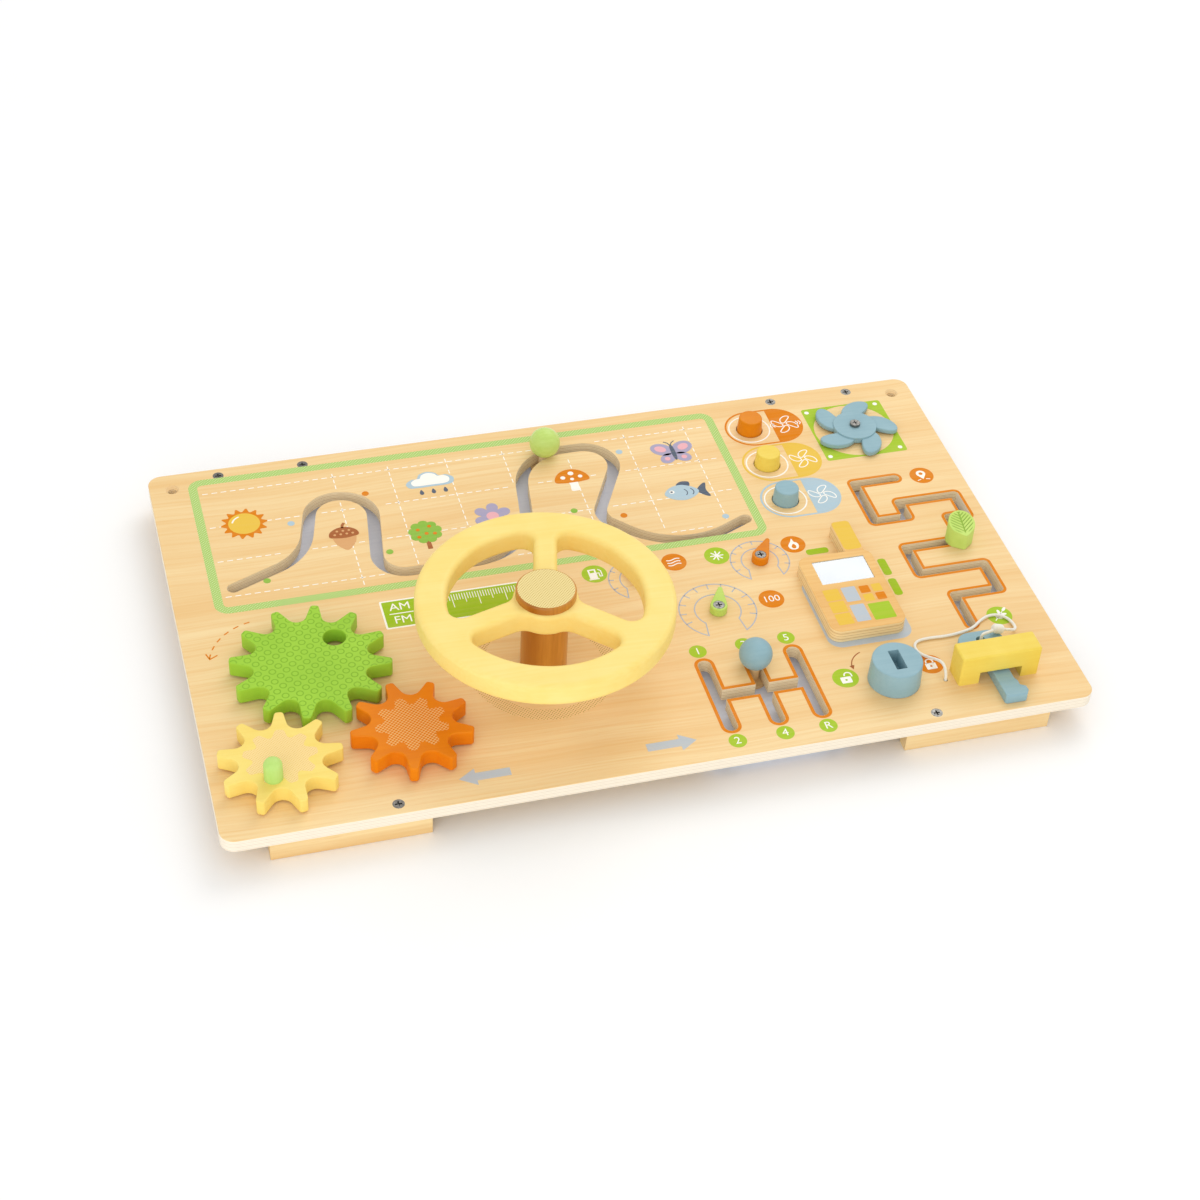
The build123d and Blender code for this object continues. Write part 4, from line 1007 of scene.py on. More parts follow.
# %% [markdown]
# ## Turned knobs, post and buttons
# These are all turned on a lathe, so each is one profile carried round its axis. The two knobs are balls
# with a small flat foot that slides on the board. A sphere primitive would have its poles at the top
# and bottom too, but no flat foot, and its rings wouldn't end where the foot does.

# %% Knobs, post and buttons
def ball(node_name, steps=40):
    """Ball with a flat foot: its radius at height h from its middle is sqrt(R^2 - h^2)."""
    bottom, top = low(node_name)[2], high(node_name)[2]
    radius = half_width(node_name)
    centre_height = top - radius
    foot_angle = np.arcsin((centre_height - bottom) / radius)
    angle = np.linspace(np.pi / 2, -foot_angle, steps)[1:]
    side = zip(radius * np.cos(angle), centre_height + radius * np.sin(angle))
    return turned(middle(node_name)[:2], [(0, top), *side, (0, bottom)])


piece("track_knob", ball("track_ball"), green_paint, "track_ball", ["track_ball"])
piece("gate_knob", ball("gear_knob"), blue_paint, "gear_stick", ["gear_knob"])

post_rim = 0.5 * MM
post_shape = rounded_rod(
    wheel_centre, panel_top, high("steering_column")[2], half_width("steering_column"), post_rim
)
piece("steering_post", post_shape, brown_wood, "board", ["steering_column"])

button_round = 1.0 * MM
button_top_radius = 8.9 * MM
button_radius = 9.7 * MM
flange_thick = 2.4 * MM
for name, finish, slot in (
    ("orange_button", orange_paint, "orange_paint"),
    ("yellow_button", holder_paint, "yellow_paint"),
    ("blue_button", blue_paint, "blue_paint"),
):
    bottom, top = low(name)[2], high(name)[2]
    flange_radius, flange_top = half_width(name), bottom + flange_thick
    profile = rounded_top(top, button_top_radius, button_round)
    profile += [(button_radius, panel_top), (button_radius, flange_top), (flange_radius, flange_top)]
    profile += [(flange_radius, bottom), (0, bottom)]
    piece(name + "_turned", turned(middle(name)[:2], profile), finish, name, [name])
print("two ball knobs, the steering post and three buttons")

# %% [markdown]
# ## The fan
# The fan is five elliptical blades on a round middle. Five ellipses could be cut together with
# Booleans, but one curve is simpler and has a clean rim. The outline is a polar curve: on each bearing
# it is the farther of the middle's circle and the nearest blade's ellipse.

# %% Fan
fan_centre = middle("fan_disc")[:2]
fan_reach = 33.5 * MM
blade_count = 5
blade_half_length = 12.0 * MM
blade_half_width = 8.9 * MM
blade_sweep = np.radians(22.0)
blade_round = 1.0 * MM
fan_phase = 69.0
disc_radius = half_width("fan_disc")
disc_round = 0.5 * MM


def fan_outline(steps=720):
    """Polar curve of the fan: max(disc radius, reach of the blade on that bearing).

    With b the bearing from a blade's axis, c the distance to the ellipse's middle and p, q its half
    axes, the ray leaves the ellipse at r = (c cos b / p^2 + sqrt(D)) / (cos^2 b / p^2 + sin^2 b / q^2),
    where D is cos^2 b / p^2 + sin^2 b / q^2 - c^2 sin^2 b / (p q)^2. Each point is then turned
    clockwise in proportion to its distance beyond the blade's middle, which sweeps the blades.
    """
    bearing = np.linspace(0, 2 * np.pi, steps, endpoint=False)
    sector = 2 * np.pi / blade_count
    b = (bearing - np.radians(fan_phase) + sector / 2) % sector - sector / 2
    p, q, c = blade_half_length, blade_half_width, fan_reach - blade_half_length
    curvature = np.cos(b) ** 2 / p**2 + np.sin(b) ** 2 / q**2
    inside = curvature - (c * np.sin(b) / (p * q)) ** 2
    reach = (c * np.cos(b) / p**2 + np.sqrt(np.maximum(inside, 0))) / curvature
    reach = np.where(inside > 0, np.maximum(reach, disc_radius), disc_radius)
    bearing = bearing - blade_sweep * ((reach - disc_radius) / (fan_reach - disc_radius) - 0.5)
    return fan_centre + reach[:, None] * toward(bearing)


fan_bottom, fan_top = low("fan")[2], high("fan")[2]
fan_shape = plate(fan_outline(), [], fan_bottom, fan_top, blade_round, blade_round)
piece("fan_blades", fan_shape, blue_paint, "fan", ["fan"])
disc_shape = rounded_rod(fan_centre, fan_top, high("fan_disc")[2], disc_radius, disc_round)
piece("fan_middle", disc_shape, blue_paint, "fan", ["fan_disc"])
print("fan of radius", round(fan_reach / MM, 1), "mm with", blade_count, "blades")

# %% [markdown]
# ## The lock
# The lock's barrel tapers a little, and has a long keyway in its top. A turned piece can't have a
# keyway, so the barrel is a straight plate with a pocket, whose points are then drawn in towards its
# axis as they rise.

# %% Lock barrel
barrel_centre = middle("ignition_barrel")[:2]
barrel_bottom, barrel_top = low("ignition_barrel")[2], high("ignition_barrel")[2]
barrel_radius = half_width("ignition_barrel")
barrel_top_radius = 17.5 * MM
barrel_round = 1.0 * MM
keyway_half_width, keyway_half_length, keyway_depth = 4.0 * MM, 9.7 * MM, 12.0 * MM
keyway_corner = 0.5 * MM


def barrel_shape():
    """Plate with a pocket, whose points are scaled about its axis by 1 - taper (z - bottom) / height."""
    across, along = barrel_centre
    keyway = oblong(
        across - keyway_half_width, across + keyway_half_width,
        along - keyway_half_length, along + keyway_half_length, keyway_corner, 4,
    )[::-1]
    points, faces = plate(
        circle(*barrel_centre, barrel_radius, 128), [], barrel_bottom, barrel_top, barrel_round, 0.0, 8,
        [(keyway, barrel_top - keyway_depth)],
    )
    taper = 1 - barrel_top_radius / barrel_radius
    scale = 1 - taper * (points[:, 2:] - barrel_bottom) / (barrel_top - barrel_bottom)
    points[:, :2] = barrel_centre + (points[:, :2] - barrel_centre) * scale
    return points, faces


piece("lock_barrel", barrel_shape(), blue_paint, "ignition", ["ignition_barrel"])
print("barrel", round((barrel_top - barrel_bottom) / MM, 1), "mm high")

# %% [markdown]
# ## The leaf knob
# The maze's knob is a round drawn out to a blunt point, and its top is sawn off at a slope. So it is a
# straight plate whose heights are scaled along the slope. The veins are shallow cuts: a middle rib and
# side veins that climb outwards. They could be cut into the mesh, but they are finer than its rim, so a
# pattern in the paint makes them.

# %% Leaf knob
leaf_radius = 9.95 * MM
leaf_shoulder = np.radians(38)
leaf_tip_half, leaf_tip_out = 0.9 * MM, 1.2 * MM
leaf_rim = 0.5 * MM
leaf_front_height, leaf_back_height = 13.5 * MM, 20.3 * MM
leaf_centre = np.array([268.0, -11.7]) * MM
leaf_foot = low("leaf_knob")[2]
vein_spacing, vein_climb, vein_depth = 2.5 * MM, 0.72, 0.4 * MM
rib_half, rib_soft = 0.3 * MM, 0.6 * MM
vein_end, vein_fade = leaf_radius - 1.9 * MM, leaf_radius - 1.3 * MM


def leaf_veins():
    """Leaf paint with a rib where |x| is small, and veins.

    A vein lies where (y - climb |x|) / spacing is near a whole number, away from the rim.
    """
    finish, tree, shader, place = new_finish("leaf_paint_veined", 0.45)
    local = node(tree, "ShaderNodeMapping", {0: place, 1: (*(-leaf_centre), 0)}).outputs[0]
    split = node(tree, "ShaderNodeSeparateXYZ", {0: local})
    beside = calc(tree, "ABSOLUTE", split.outputs["X"])
    climbed = calc(tree, "SUBTRACT", split.outputs["Y"], calc(tree, "MULTIPLY", beside, vein_climb))
    from_vein = calc(tree, "PINGPONG", calc(tree, "DIVIDE", climbed, vein_spacing), 0.5)
    vein = spread(tree, from_vein, 0.06, 0.17, 1.0, 0.0)
    rib = spread(tree, beside, rib_half, rib_soft, 1.0, 0.0)
    flat = node(tree, "ShaderNodeVectorMath", {0: local, 1: (1, 1, 0)}, operation="MULTIPLY").outputs[0]
    reach = node(tree, "ShaderNodeVectorMath", {0: flat}, operation="LENGTH").outputs["Value"]
    inside = spread(tree, reach, vein_end, vein_fade, 1.0, 0.0)
    drawn = calc(tree, "MULTIPLY", calc(tree, "MAXIMUM", vein, rib), inside)
    drawn = calc(tree, "MULTIPLY", drawn, spread(tree, facing_up(tree), 0.80, 0.90))
    drift = spread(tree, noise(tree, place, 60.0, 3.0), 0.3, 0.7)
    ground = blended(tree, drift, linear("CCE67C"), linear("BEDC6C"))
    shade = blended(tree, drawn, ground, linear("98C048"))
    coloured(tree, shader, shade, calc(tree, "SUBTRACT", 1.0, drawn), vein_depth)
    return finish


def leaf_shape():
    """Plate whose height above its foot is scaled by h(y) / back height.

    h rises evenly from the front height to the back height across the round.
    """
    tip = -leaf_radius - leaf_tip_out
    outline = np.vstack([
        arc(leaf_centre, leaf_radius, -leaf_shoulder, np.pi + leaf_shoulder, 90),
        [leaf_centre + (-leaf_tip_half, tip), leaf_centre + (leaf_tip_half, tip)],
    ])
    points, faces = plate(outline, [], leaf_foot, leaf_foot + leaf_back_height, leaf_rim)
    share = (points[:, 1] - leaf_centre[1] + leaf_radius) / (2 * leaf_radius)
    height = leaf_front_height + (leaf_back_height - leaf_front_height) * share
    points[:, 2] = leaf_foot + (points[:, 2] - leaf_foot) * height / leaf_back_height
    return points, faces


piece("leaf_knob_sawn", leaf_shape(), leaf_veins(), "maze_leaf", ["leaf_knob"])
print("leaf knob", round(leaf_front_height / MM, 1), "to", round(leaf_back_height / MM, 1), "mm high")

# %% [markdown]
# ## Prints
# The board's pictures are screen-printed before the toys go on. Each print is a very thin plate that is
# sunk a little into the wood, and a second colour lies one layer higher. One painted picture over the
# whole board would be less work, but it would need a huge image to be as sharp as these outlines.
# Prints are collected by ink and joined at the end, so that each ink is one piece.

# %% Collecting prints
prints = {}
surface_heights = {"board": panel_top, "radio": high("handset")[2]}


def printed(ink_name, outer, holes=(), layer=0, surface="board"):
    """Adds a print inside an outline and outside its holes."""
    holes = [anticlockwise(hole)[::-1] for hole in holes]
    shape = inked(anticlockwise(outer), holes, surface_heights[surface], layer)
    prints.setdefault((surface, ink_name), []).append(shape)


def stroke(points, width):
    """Band of that width along an open path: its right side forwards, then its left side backwards."""
    path = np.array(points, float)
    normal = left_of(unit(np.diff(path, axis=0)))
    before, after = np.vstack([normal[:1], normal]), np.vstack([normal, normal[-1:]])
    half = mitre(before, after) * width / 2
    return np.vstack([path - half, (path + half)[::-1]])


def printed_line(ink_name, outline, outwards, inwards, layer=0):
    """Closed line along an outline, from so far outside it to so far inside it."""
    outline = anticlockwise(outline)
    side = inward(outline)
    printed(ink_name, outline - side * outwards, [(outline + side * inwards)[::-1]], layer)


def ellipse(x, y, half_length, half_width, turn=0.0, steps=36):
    """Ellipse turned by some degrees: its unit circle stretched along two axes at a right angle."""
    along = toward(np.radians(turn))
    across = toward(np.radians(turn) + np.pi / 2)
    around = circle(0, 0, 1, steps)
    return np.array([x, y]) + half_length * around[:, :1] * along + half_width * around[:, 1:] * across


def soft_curve(points, steps=6):
    """Closed Catmull-Rom curve: between b and c it is the cubic with slopes (c - a)/2 and (d - b)/2."""
    b = np.array(points, float)
    a, c, d = np.roll(b, 1, 0), np.roll(b, -1, 0), np.roll(b, -2, 0)
    t = np.linspace(0, 1, steps, endpoint=False)[:, None, None]
    curve = b + t * (c - a) / 2 + t**2 * (a - 2.5 * b + 2 * c - d / 2) + t**3 * (1.5 * (b - c) + (d - a) / 2)
    return curve.transpose(1, 0, 2).reshape(-1, 2)


def lettering(ink_name, text, x, y, size, layer=1):
    """Text in Blender's own typeface, thickened to a print's height and made a mesh before it is placed."""
    curve = bpy.data.curves.new("lettering", "FONT")
    curve.body = text
    curve.size = size
    curve.align_x, curve.align_y = "CENTER", "CENTER"
    curve.extrude = (print_sink + print_thick * (layer + 1)) / 2
    holder = bpy.data.objects.new("lettering", curve)
    mesh = bpy.data.meshes.new_from_object(holder)
    mesh.calc_loop_triangles()
    points = np.array([vertex.co for vertex in mesh.vertices])
    faces = np.array([face.vertices for face in mesh.loop_triangles])
    points += (x, y, panel_top - print_sink + curve.extrude)
    for made, store in ((holder, bpy.data.objects), (mesh, bpy.data.meshes), (curve, bpy.data.curves)):
        store.remove(made)
    prints.setdefault(("board", ink_name), []).append((points, faces))


print("print helpers ready")

# %% [markdown]
# A picture or a sign is drawn in millimetres about its own middle, and then carried to its place on the
# board. Most of them are made of three marks: a spot, a bar and a soft patch.

# %% Spots, bars and patches
def at(place, points):
    """Points in millimetres about a middle, carried to its place on the board."""
    return np.array(place) + np.array(points, float) * MM


def spot(ink_name, place, x, y, radius, layer=1, steps=24):
    """Round mark. Its middle and its radius are in millimetres about a picture's place."""
    printed(ink_name, circle(*at(place, (x, y)), radius * MM, steps), layer=layer)


def bar(ink_name, place, points, width, layer=1):
    """Band through some points, in millimetres about a picture's place."""
    printed(ink_name, stroke(at(place, points), width * MM), layer=layer)


def patch(ink_name, place, points, layer=1, holes=()):
    """Mark inside a soft curve through some points, in millimetres about a picture's place."""
    printed(ink_name, soft_curve(at(place, points)), holes, layer)


print("marks ready")

# %% [markdown]
# ### Lines round the slots
# The maze and the gear gate have an orange line round their slots. A slot's outline is its path moved to
# both sides by half its width, with an arc round each outer corner and each end. The line is the same
# outline twice, once wider than the slot and once as wide as the slot. The gate's lanes have numbers.

# %% Maze and gate lines
maze_path = MM * np.array([
    (247.5, 66.2), (215.2, 66.2), (215.2, 22), (240.6, 22), (240.6, 38.5), (284.9, 38.5), (284.9, 14.7),
    (271.3, 14.7), (271.3, -11.7), (226.8, -11.7), (226.8, -40), (276.4, -40), (276.4, -67.6),
    (242.6, -67.6), (242.6, -98.7),
])
maze_half, maze_line = 3.5 * MM, 2.2 * MM
gate_half, gate_line = 4.7 * MM, 2.4 * MM
gate_lanes = np.array([44.9, 78.4, 109.3]) * MM
gate_front, gate_back, gate_neutral = -157.2 * MM, -97.8 * MM, -127.9 * MM
line_gap = 0.1 * MM
sharp_corner = 0.3 * MM
round_share = 0.97
number_disc, number_size = 6.2 * MM, 9.0 * MM


def slot_outline(path, half):
    """Outline of a slot with a round corner wherever its path turns away from that side."""
    direction = unit(np.diff(path, axis=0))
    normal = left_of(direction)
    corner = mitre(normal[:-1], normal[1:]) * half
    left_turn = direction[:-1, 0] * direction[1:, 1] - direction[:-1, 1] * direction[1:, 0] > 0
    end_round = round_share * half
    start, end = path[0] - half * direction[0], path[-1] + half * direction[-1]
    corners = np.vstack([
        start - half * normal[0], path[1:-1] - corner, end - half * normal[-1],
        end + half * normal[-1], (path[1:-1] + corner)[::-1], start + half * normal[0],
    ])
    right = np.where(left_turn, end_round, sharp_corner)
    left = np.where(left_turn, sharp_corner, end_round)
    return rounded(corners, np.concatenate([[end_round], right, [end_round] * 2, left[::-1], [end_round]]))


def gate_outline(half):
    """Comb of three lanes and the channel across them, as one outline.

    Each lane gives two corners at its end, and the channel two between a lane and the next: first all
    front ends from left to right, then all back ends from right to left.
    """
    corners = []
    for lanes, side, end, channel in (
        (gate_lanes, half, gate_front - half, gate_neutral - half),
        (gate_lanes[::-1], -half, gate_back + half, gate_neutral + half),
    ):
        for lane, following in zip(lanes, [*lanes[1:], None]):
            corners += [(lane - side, end), (lane + side, end)]
            if following is not None:
                corners += [(lane + side, channel), (following - side, channel)]
    ends, channel_corners = [round_share * half] * 2, [sharp_corner] * 2
    return rounded(corners, 2 * (2 * (ends + channel_corners) + ends))


maze_inside = slot_outline(maze_path, maze_half + line_gap)
printed("orange", slot_outline(maze_path, maze_half + maze_line), [maze_inside])
printed("orange", gate_outline(gate_half + gate_line), [gate_outline(gate_half + line_gap)])
for figure, x, y in (
    ("1", 44.5, -83.5), ("3", 78, -83.5), ("5", 109, -83.5),
    ("2", 45, -171.5), ("4", 78.5, -171.5), ("R", 109, -171.5),
):
    printed("lime", circle(x * MM, y * MM, number_disc))
    lettering("white", figure, x * MM, y * MM, number_size)
print("lines round", len(maze_path), "maze corners and", len(gate_lanes), "gate lanes")

# %% [markdown]
# ### The marble track's field
# A dotted green border frames the track. Inside it lie a dashed white grid, a few coloured dots and
# small pictures. A dash that ran over a slot would hang in the air. So four rays are dropped on the
# board round each end of a dash, and a dash is left out where one of them misses the board's top face.

# %% Track field
field_left, field_right, field_front, field_back = -272 * MM, 134 * MM, 25 * MM, 174 * MM
border_width = 6.5 * MM
border_corner = 10 * MM
flush = 0.1 * MM
field = oblong(field_left, field_right, field_front, field_back, border_corner, 12)
border = inked(field, [(field + inward(field) * border_width)[::-1]], panel_top)
piece("track_border", border, border_ink, "board")

panel_mesh = nodes["panel"].data
panel_mesh.calc_loop_triangles()
panel_tree = BVHTree.FromPolygons(
    [vertex.co for vertex in panel_mesh.vertices], [face.vertices for face in panel_mesh.loop_triangles]
)


def on_board(x, y):
    """True where the board's top face lies under a place."""
    hit = panel_tree.ray_cast(Vector((x, y, panel_top + 1.0)), Vector((0, 0, -1)))[0]
    return hit is not None and abs(hit.z - panel_top) < flush


dash_length, dash_gap, dash_width = 4.2 * MM, 2.6 * MM, 0.75 * MM
dash_margin = 1.0 * MM
dash_corners = [(x, y) for x in (-dash_margin, dash_margin) for y in (-dash_margin, dash_margin)]
grid_xs = np.array([-166, -124, -80, -36, 11, 60, 108]) * MM
grid_ys = np.array([157, 118, 80, 42]) * MM
dashes = 0
for low_end, high_end, lines, along_x in (
    (field_left, field_right, grid_ys, True), (field_front, field_back, grid_xs, False)
):
    first, last = low_end + border_width + dash_gap, high_end - border_width - dash_length
    places = np.arange(first, last, dash_length + dash_gap)
    for line in lines:
        for place in places:
            ends = [(place, line), (place + dash_length, line)]
            ends = ends if along_x else [(y, x) for x, y in ends]
            if all(on_board(x + dx, y + dy) for x, y in ends for dx, dy in dash_corners):
                printed("white", stroke(ends, dash_width))
                dashes += 1

board_middle = 0, 0
for ink_name, x, y in (
    ("orange", -146, 133), ("orange", 34.5, 68), ("leaf_green", -141.5, 65), ("leaf_green", -232, 53),
    ("leaf_green", 0, 81), ("light_blue", -205, 111), ("light_blue", 51.5, 141), ("light_blue", 108, 51),
):
    spot(ink_name, board_middle, x, y, 2.6)
print(dashes, "dashes and 8 dots")

# %% [markdown]
# ### Small pictures
# The pictures are flat and simple, as in a picture book: each is two or three colours, one over another.
# They show a sun, an acorn, a rain cloud, a tree, a flower, a mushroom, a butterfly and a fish. Round
# things such as petals come from a formula in polar form, and the rest are soft curves through a few
# points, because a soft curve needs far fewer points than a traced outline.

# %% Sun, acorn, cloud and tree
ray_tip_round, ray_valley_round = 0.8 * MM, 1.2 * MM


def star(place, points, tip, valley):
    """Star with that many points, whose tips and valleys are a little rounded."""
    bearing = np.pi * np.arange(2 * points) / points
    reach = np.where(np.arange(2 * points) % 2 == 0, tip, valley) * MM
    corners = place + reach[:, None] * toward(bearing)
    return rounded(corners, np.tile([ray_tip_round, ray_valley_round], points), 5)


def petals(place, inner, outer, count, turn, steps=120):
    """Polar curve whose radius is inner + (outer - inner) times sqrt |cos(count (a - turn) / 2)|."""
    angle = np.linspace(0, 2 * np.pi, steps, endpoint=False)
    wave = np.sqrt(np.abs(np.cos(count * (angle - np.radians(turn)) / 2)))
    return place + MM * (inner + (outer - inner) * wave)[:, None] * toward(angle)


sun = np.array([-238, 118]) * MM
printed("orange", star(sun, 14, 18, 12.5), layer=1)
spot("yellow", sun, 0, 0, 11.5, 2, 48)
bar("white", sun, arc((0, 0), 8.6, 1.9, 2.9, 10), 1.1, 3)

acorn = np.array([-170, 88]) * MM
nut = [(-8, 2), (-7.6, -5), (-4.6, -10.5), (0, -14.5), (4.6, -10.5), (7.6, -5), (8, 2), (0, 4)]
patch("tan", acorn, nut)
patch("brown", acorn, [
    (-10.6, 1.2), (-9.8, 6.2), (-5, 10), (0, 11), (5, 10), (9.8, 6.2), (10.6, 1.2), (5, -0.6), (0, -1.2),
    (-5, -0.6),
], 2)
bar("brown", acorn, [(0, 10), (0.6, 13), (2.2, 15.4)], 2.0, 2)
for y, count in ((6.8, 3), (3.2, 4)):
    for x in (np.arange(count) - (count - 1) / 2) * 4.4:
        spot("tan", acorn, x, y, 1.0, 3, 16)

cloud = np.array([-96, 136]) * MM
puffs = np.array([
    (-17, -4), (-18.5, 1), (-14, 5), (-9.5, 5.5), (-7, 10), (-1, 12.2), (5, 10), (7.5, 6.5),
    (13, 6.5), (17.5, 2.5), (16.5, -3), (11, -5), (0, -5), (-11, -5),
])
drop = np.array([(0, 3.2), (1.5, 0.4), (1.3, -1.6), (0, -2.4), (-1.3, -1.6), (-1.5, 0.4)])
patch("light_blue", cloud, puffs)
patch("white", cloud, 0.8 * puffs + (0.3, 0.9), 2)
for x in (-9, 0, 9):
    patch("navy", cloud, drop + (x, -11))

tree = np.array([-112, 78]) * MM
printed("brown", rounded(at(tree, [(-1.8, -16), (1.8, -16), (1.5, -4), (-1.5, -4)]), 0.4 * MM), layer=1)
printed("leaf_green", petals(at(tree, (0, 3)), 10, 12.5, 9, 10), layer=2)
for x, y in ((-5, 6), (4, 8.5), (0.5, 1), (6.5, 0), (-5.5, -2)):
    spot("orange", tree, x, y, 1.5, 3, 20)
print("sun, acorn, cloud and tree")

# %% [markdown]
# The other four pictures are made of the same marks. The butterfly's wings are turned ellipses, and a
# loop draws them for both sides, where a side of -1 mirrors their places and their turns.

# %% Flower, mushroom, butterfly and fish
flower = np.array([-60, 88]) * MM
printed("lilac", petals(flower, 6, 14.5, 6, 20), layer=1)
spot("pink", flower, 0, 0, 4.6, 2, 48)

mushroom = np.array([8, 116]) * MM
patch("white", mushroom, [(-3.4, -12), (0, -12.8), (3.4, -12), (3, -6), (3.2, 0), (-3.2, 0), (-3, -6)])
patch("orange", mushroom, [
    (-13, -1), (-12, 5), (-7, 10.5), (0, 12.5), (7, 10.5), (12, 5), (13, -1), (7, -2.6), (0, -3), (-7, -2.6)
], 2)
for x, y, radius in ((-6.5, 3.5, 1.9), (0.5, 7.5, 2.2), (6.8, 3, 1.7), (0, 0.8, 1.5)):
    spot("white", mushroom, x, y, radius, 3)

butterfly = np.array([92, 132]) * MM
for side in (-1, 1):
    for ink_name, x, y, length, width, turn in (
        ("lilac", 8, 4.5, 9, 6.8, 32), ("lilac", 6, -6.5, 6.6, 5.2, -38), ("pink", 9, 5.2, 4.6, 3.4, 32)
    ):
        wing = ellipse(*at(butterfly, (side * x, y)), length * MM, width * MM, side * turn)
        printed(ink_name, wing, layer=2 if ink_name == "pink" else 1)
    spot("pink", butterfly, side * 6.6, -7, 2.2, 2)
    bar("navy", butterfly, [(0, 8), (side * 1.6, 11.5), (side * 4.2, 13.4)], 0.7, 2)
printed("navy", ellipse(*butterfly, 9.5 * MM, 1.7 * MM, 90), layer=3)

fish = np.array([86, 84]) * MM
patch("navy", fish, [(10, 0), (15, 6.5), (18.6, 7.5), (17, 0), (18.6, -7.5), (15, -6.5)])
patch("navy", fish, [(-4, 8), (0, 12.5), (6.5, 11.5), (5, 6)])
patch("light_blue", fish, [
    (-15, 0), (-10, 6.6), (-1, 9), (7, 5.6), (11, 1.6), (11, -1.6), (7, -5.6), (-1, -8.6), (-10, -6.2)
], 2)
spot("white", fish, -9, 2, 1.9, 3)
spot("navy", fish, -9.3, 2, 0.95, 4, 20)
for x in (-2, 3):
    bar("navy", fish, arc((x, 0), 4.4, -0.9, 0.9, 10), 0.7, 3)
print("flower, mushroom, butterfly and fish")

# %% [markdown]
# ### Dials
# Each pointer lies on a dial that is printed in grey: an open ring in one thin line, with ticks. The
# line follows the outer circle from one tip to the other, then the inner circle back. That is simpler
# than to cut a gap out of two whole rings.

# %% Dials
dial_line, tick_width = 0.45 * MM, 0.85 * MM
tick_outer_share = 0.55
first_tick, last_tick = -20, 200
small_dial = 21.5 * MM, 13.5 * MM, -55.0, -36.0, 9


def dial(place, outer, inner, tip_bearing, inner_bearing, ticks):
    """Open ring drawn as one thin line, with short ticks in its outer half."""
    a, b = np.radians(tip_bearing), np.radians(inner_bearing)
    outer_arc = arc(place, outer, a, np.pi - a, 64)
    inner_arc = arc(place, inner, np.pi - b, b, 48)
    printed_line("line_grey", np.vstack([outer_arc, inner_arc]), dial_line, dial_line)
    tick_end = tick_outer_share * outer + (1 - tick_outer_share) * inner
    for bearing in np.linspace(first_tick, last_tick, ticks):
        tick = [polar(place, outer, bearing), polar(place, tick_end, bearing)]
        printed("line_grey", stroke(tick, tick_width))


dial(at(board_middle, (71, -46)), 27.5 * MM, 16.5 * MM, -59.5, -42.0, 11)
dial(at(board_middle, (25.5, -2)), *small_dial)
dial(at(board_middle, (117, -2)), *small_dial)
print("three dials")

# %% [markdown]
# ### Discs and signs
# Each small disc has a white sign that tells what the dial or the lock beside it does. The signs are
# drawn here from the same few marks: circles, bars and soft curves about their own middle.

# %% Discs and their signs
disc_size = 9.2 * MM


def sign_disc(ink_name, x, y):
    """Disc of that ink, and its place for the sign on it."""
    place = at(board_middle, (x, y))
    printed(ink_name, circle(*place, disc_size))
    return place


pump = sign_disc("lime", -4, 10)
pump_body = rounded(at(pump, [(-4.2, -5), (1.6, -5), (1.6, 5), (-4.2, 5)]), 0.6 * MM)
pump_window = rounded(at(pump, [(-3, 1.2), (0.4, 1.2), (0.4, 3.8), (-3, 3.8)]), 0.3 * MM)
printed("white", pump_body, [pump_window], 1)
bar("white", pump, [(-5, -5.6), (2.4, -5.6)], 1.0)
bar("white", pump, [(1.6, 0.4), (3.4, 0.4), (3.4, -3.2), (5.2, -3.2), (5.2, 2.4), (3.4, 4.4)], 0.8)

heat = sign_disc("orange", 55.5, 10)
wave = np.linspace(-5, 5, 25)
for row in (-2.8, 0, 2.8):
    bar("white", heat, np.stack([wave, row + 0.8 * np.sin(wave * 0.56)], 1), 0.9)

frost = sign_disc("lime", 88, 10)
for bearing in np.arange(0, 360, 45):
    bar("white", frost, [polar((0, 0), 1.0, bearing), polar((0, 0), 5.0, bearing)], 1.0)
spot("white", frost, 0, 0, 1.5, 2)

fire = sign_disc("orange", 146.5, 10)
inner_flame = [(0.3, 0.4), (1.7, -1.8), (1.2, -4), (0, -4.6), (-1.4, -4), (-1.7, -2)]
patch("white", fire, [
    (0.6, 6.2), (1.4, 2.6), (3.2, 1.2), (3.9, -1.6), (2.6, -4.8), (0, -5.8), (-2.9, -4.8), (-4, -1.4),
    (-2.4, 1.4), (-1, 3.4),
], 1, [soft_curve(at(fire, inner_flame))])

lettering("white", "100", *sign_disc("orange", 112, -43), 8.6 * MM)
lettering("white", "0", *sign_disc("lime", 31, -44), 9.5 * MM)

for ink_name, x, y, shackle, free_end in (("lime", 136, -131, 2.4, 2.0), ("orange", 198.5, -131, 0.0, 0.5)):
    padlock = sign_disc(ink_name, x, y)
    body = rounded(at(padlock, [(-3.8, -5), (3.8, -5), (3.8, 1), (-3.8, 1)]), 0.8 * MM)
    printed("white", body, [circle(*at(padlock, (0, -2)), 0.9 * MM, 16)], 1)
    bow = arc((shackle, 2.4), 2.5, 0, np.pi, 14)
    bar("white", padlock, np.vstack([[(shackle + 2.5, 0.5)], bow, [(shackle - 2.5, free_end)]]), 1.0)

pin = sign_disc("orange", 269, 65)
pin_outline = at(pin, np.vstack([arc((0, 2), 3.6, -0.55, np.pi + 0.55, 26), [(0, -4.4)]]))
printed("white", pin_outline, [circle(*at(pin, (0, 2)), 1.6 * MM, 20)], 1)
bar("white", pin, [(-5, -5.4), (-2, -4.4)], 0.7)
bar("white", pin, [(2, -4.4), (5, -5.4)], 0.7)

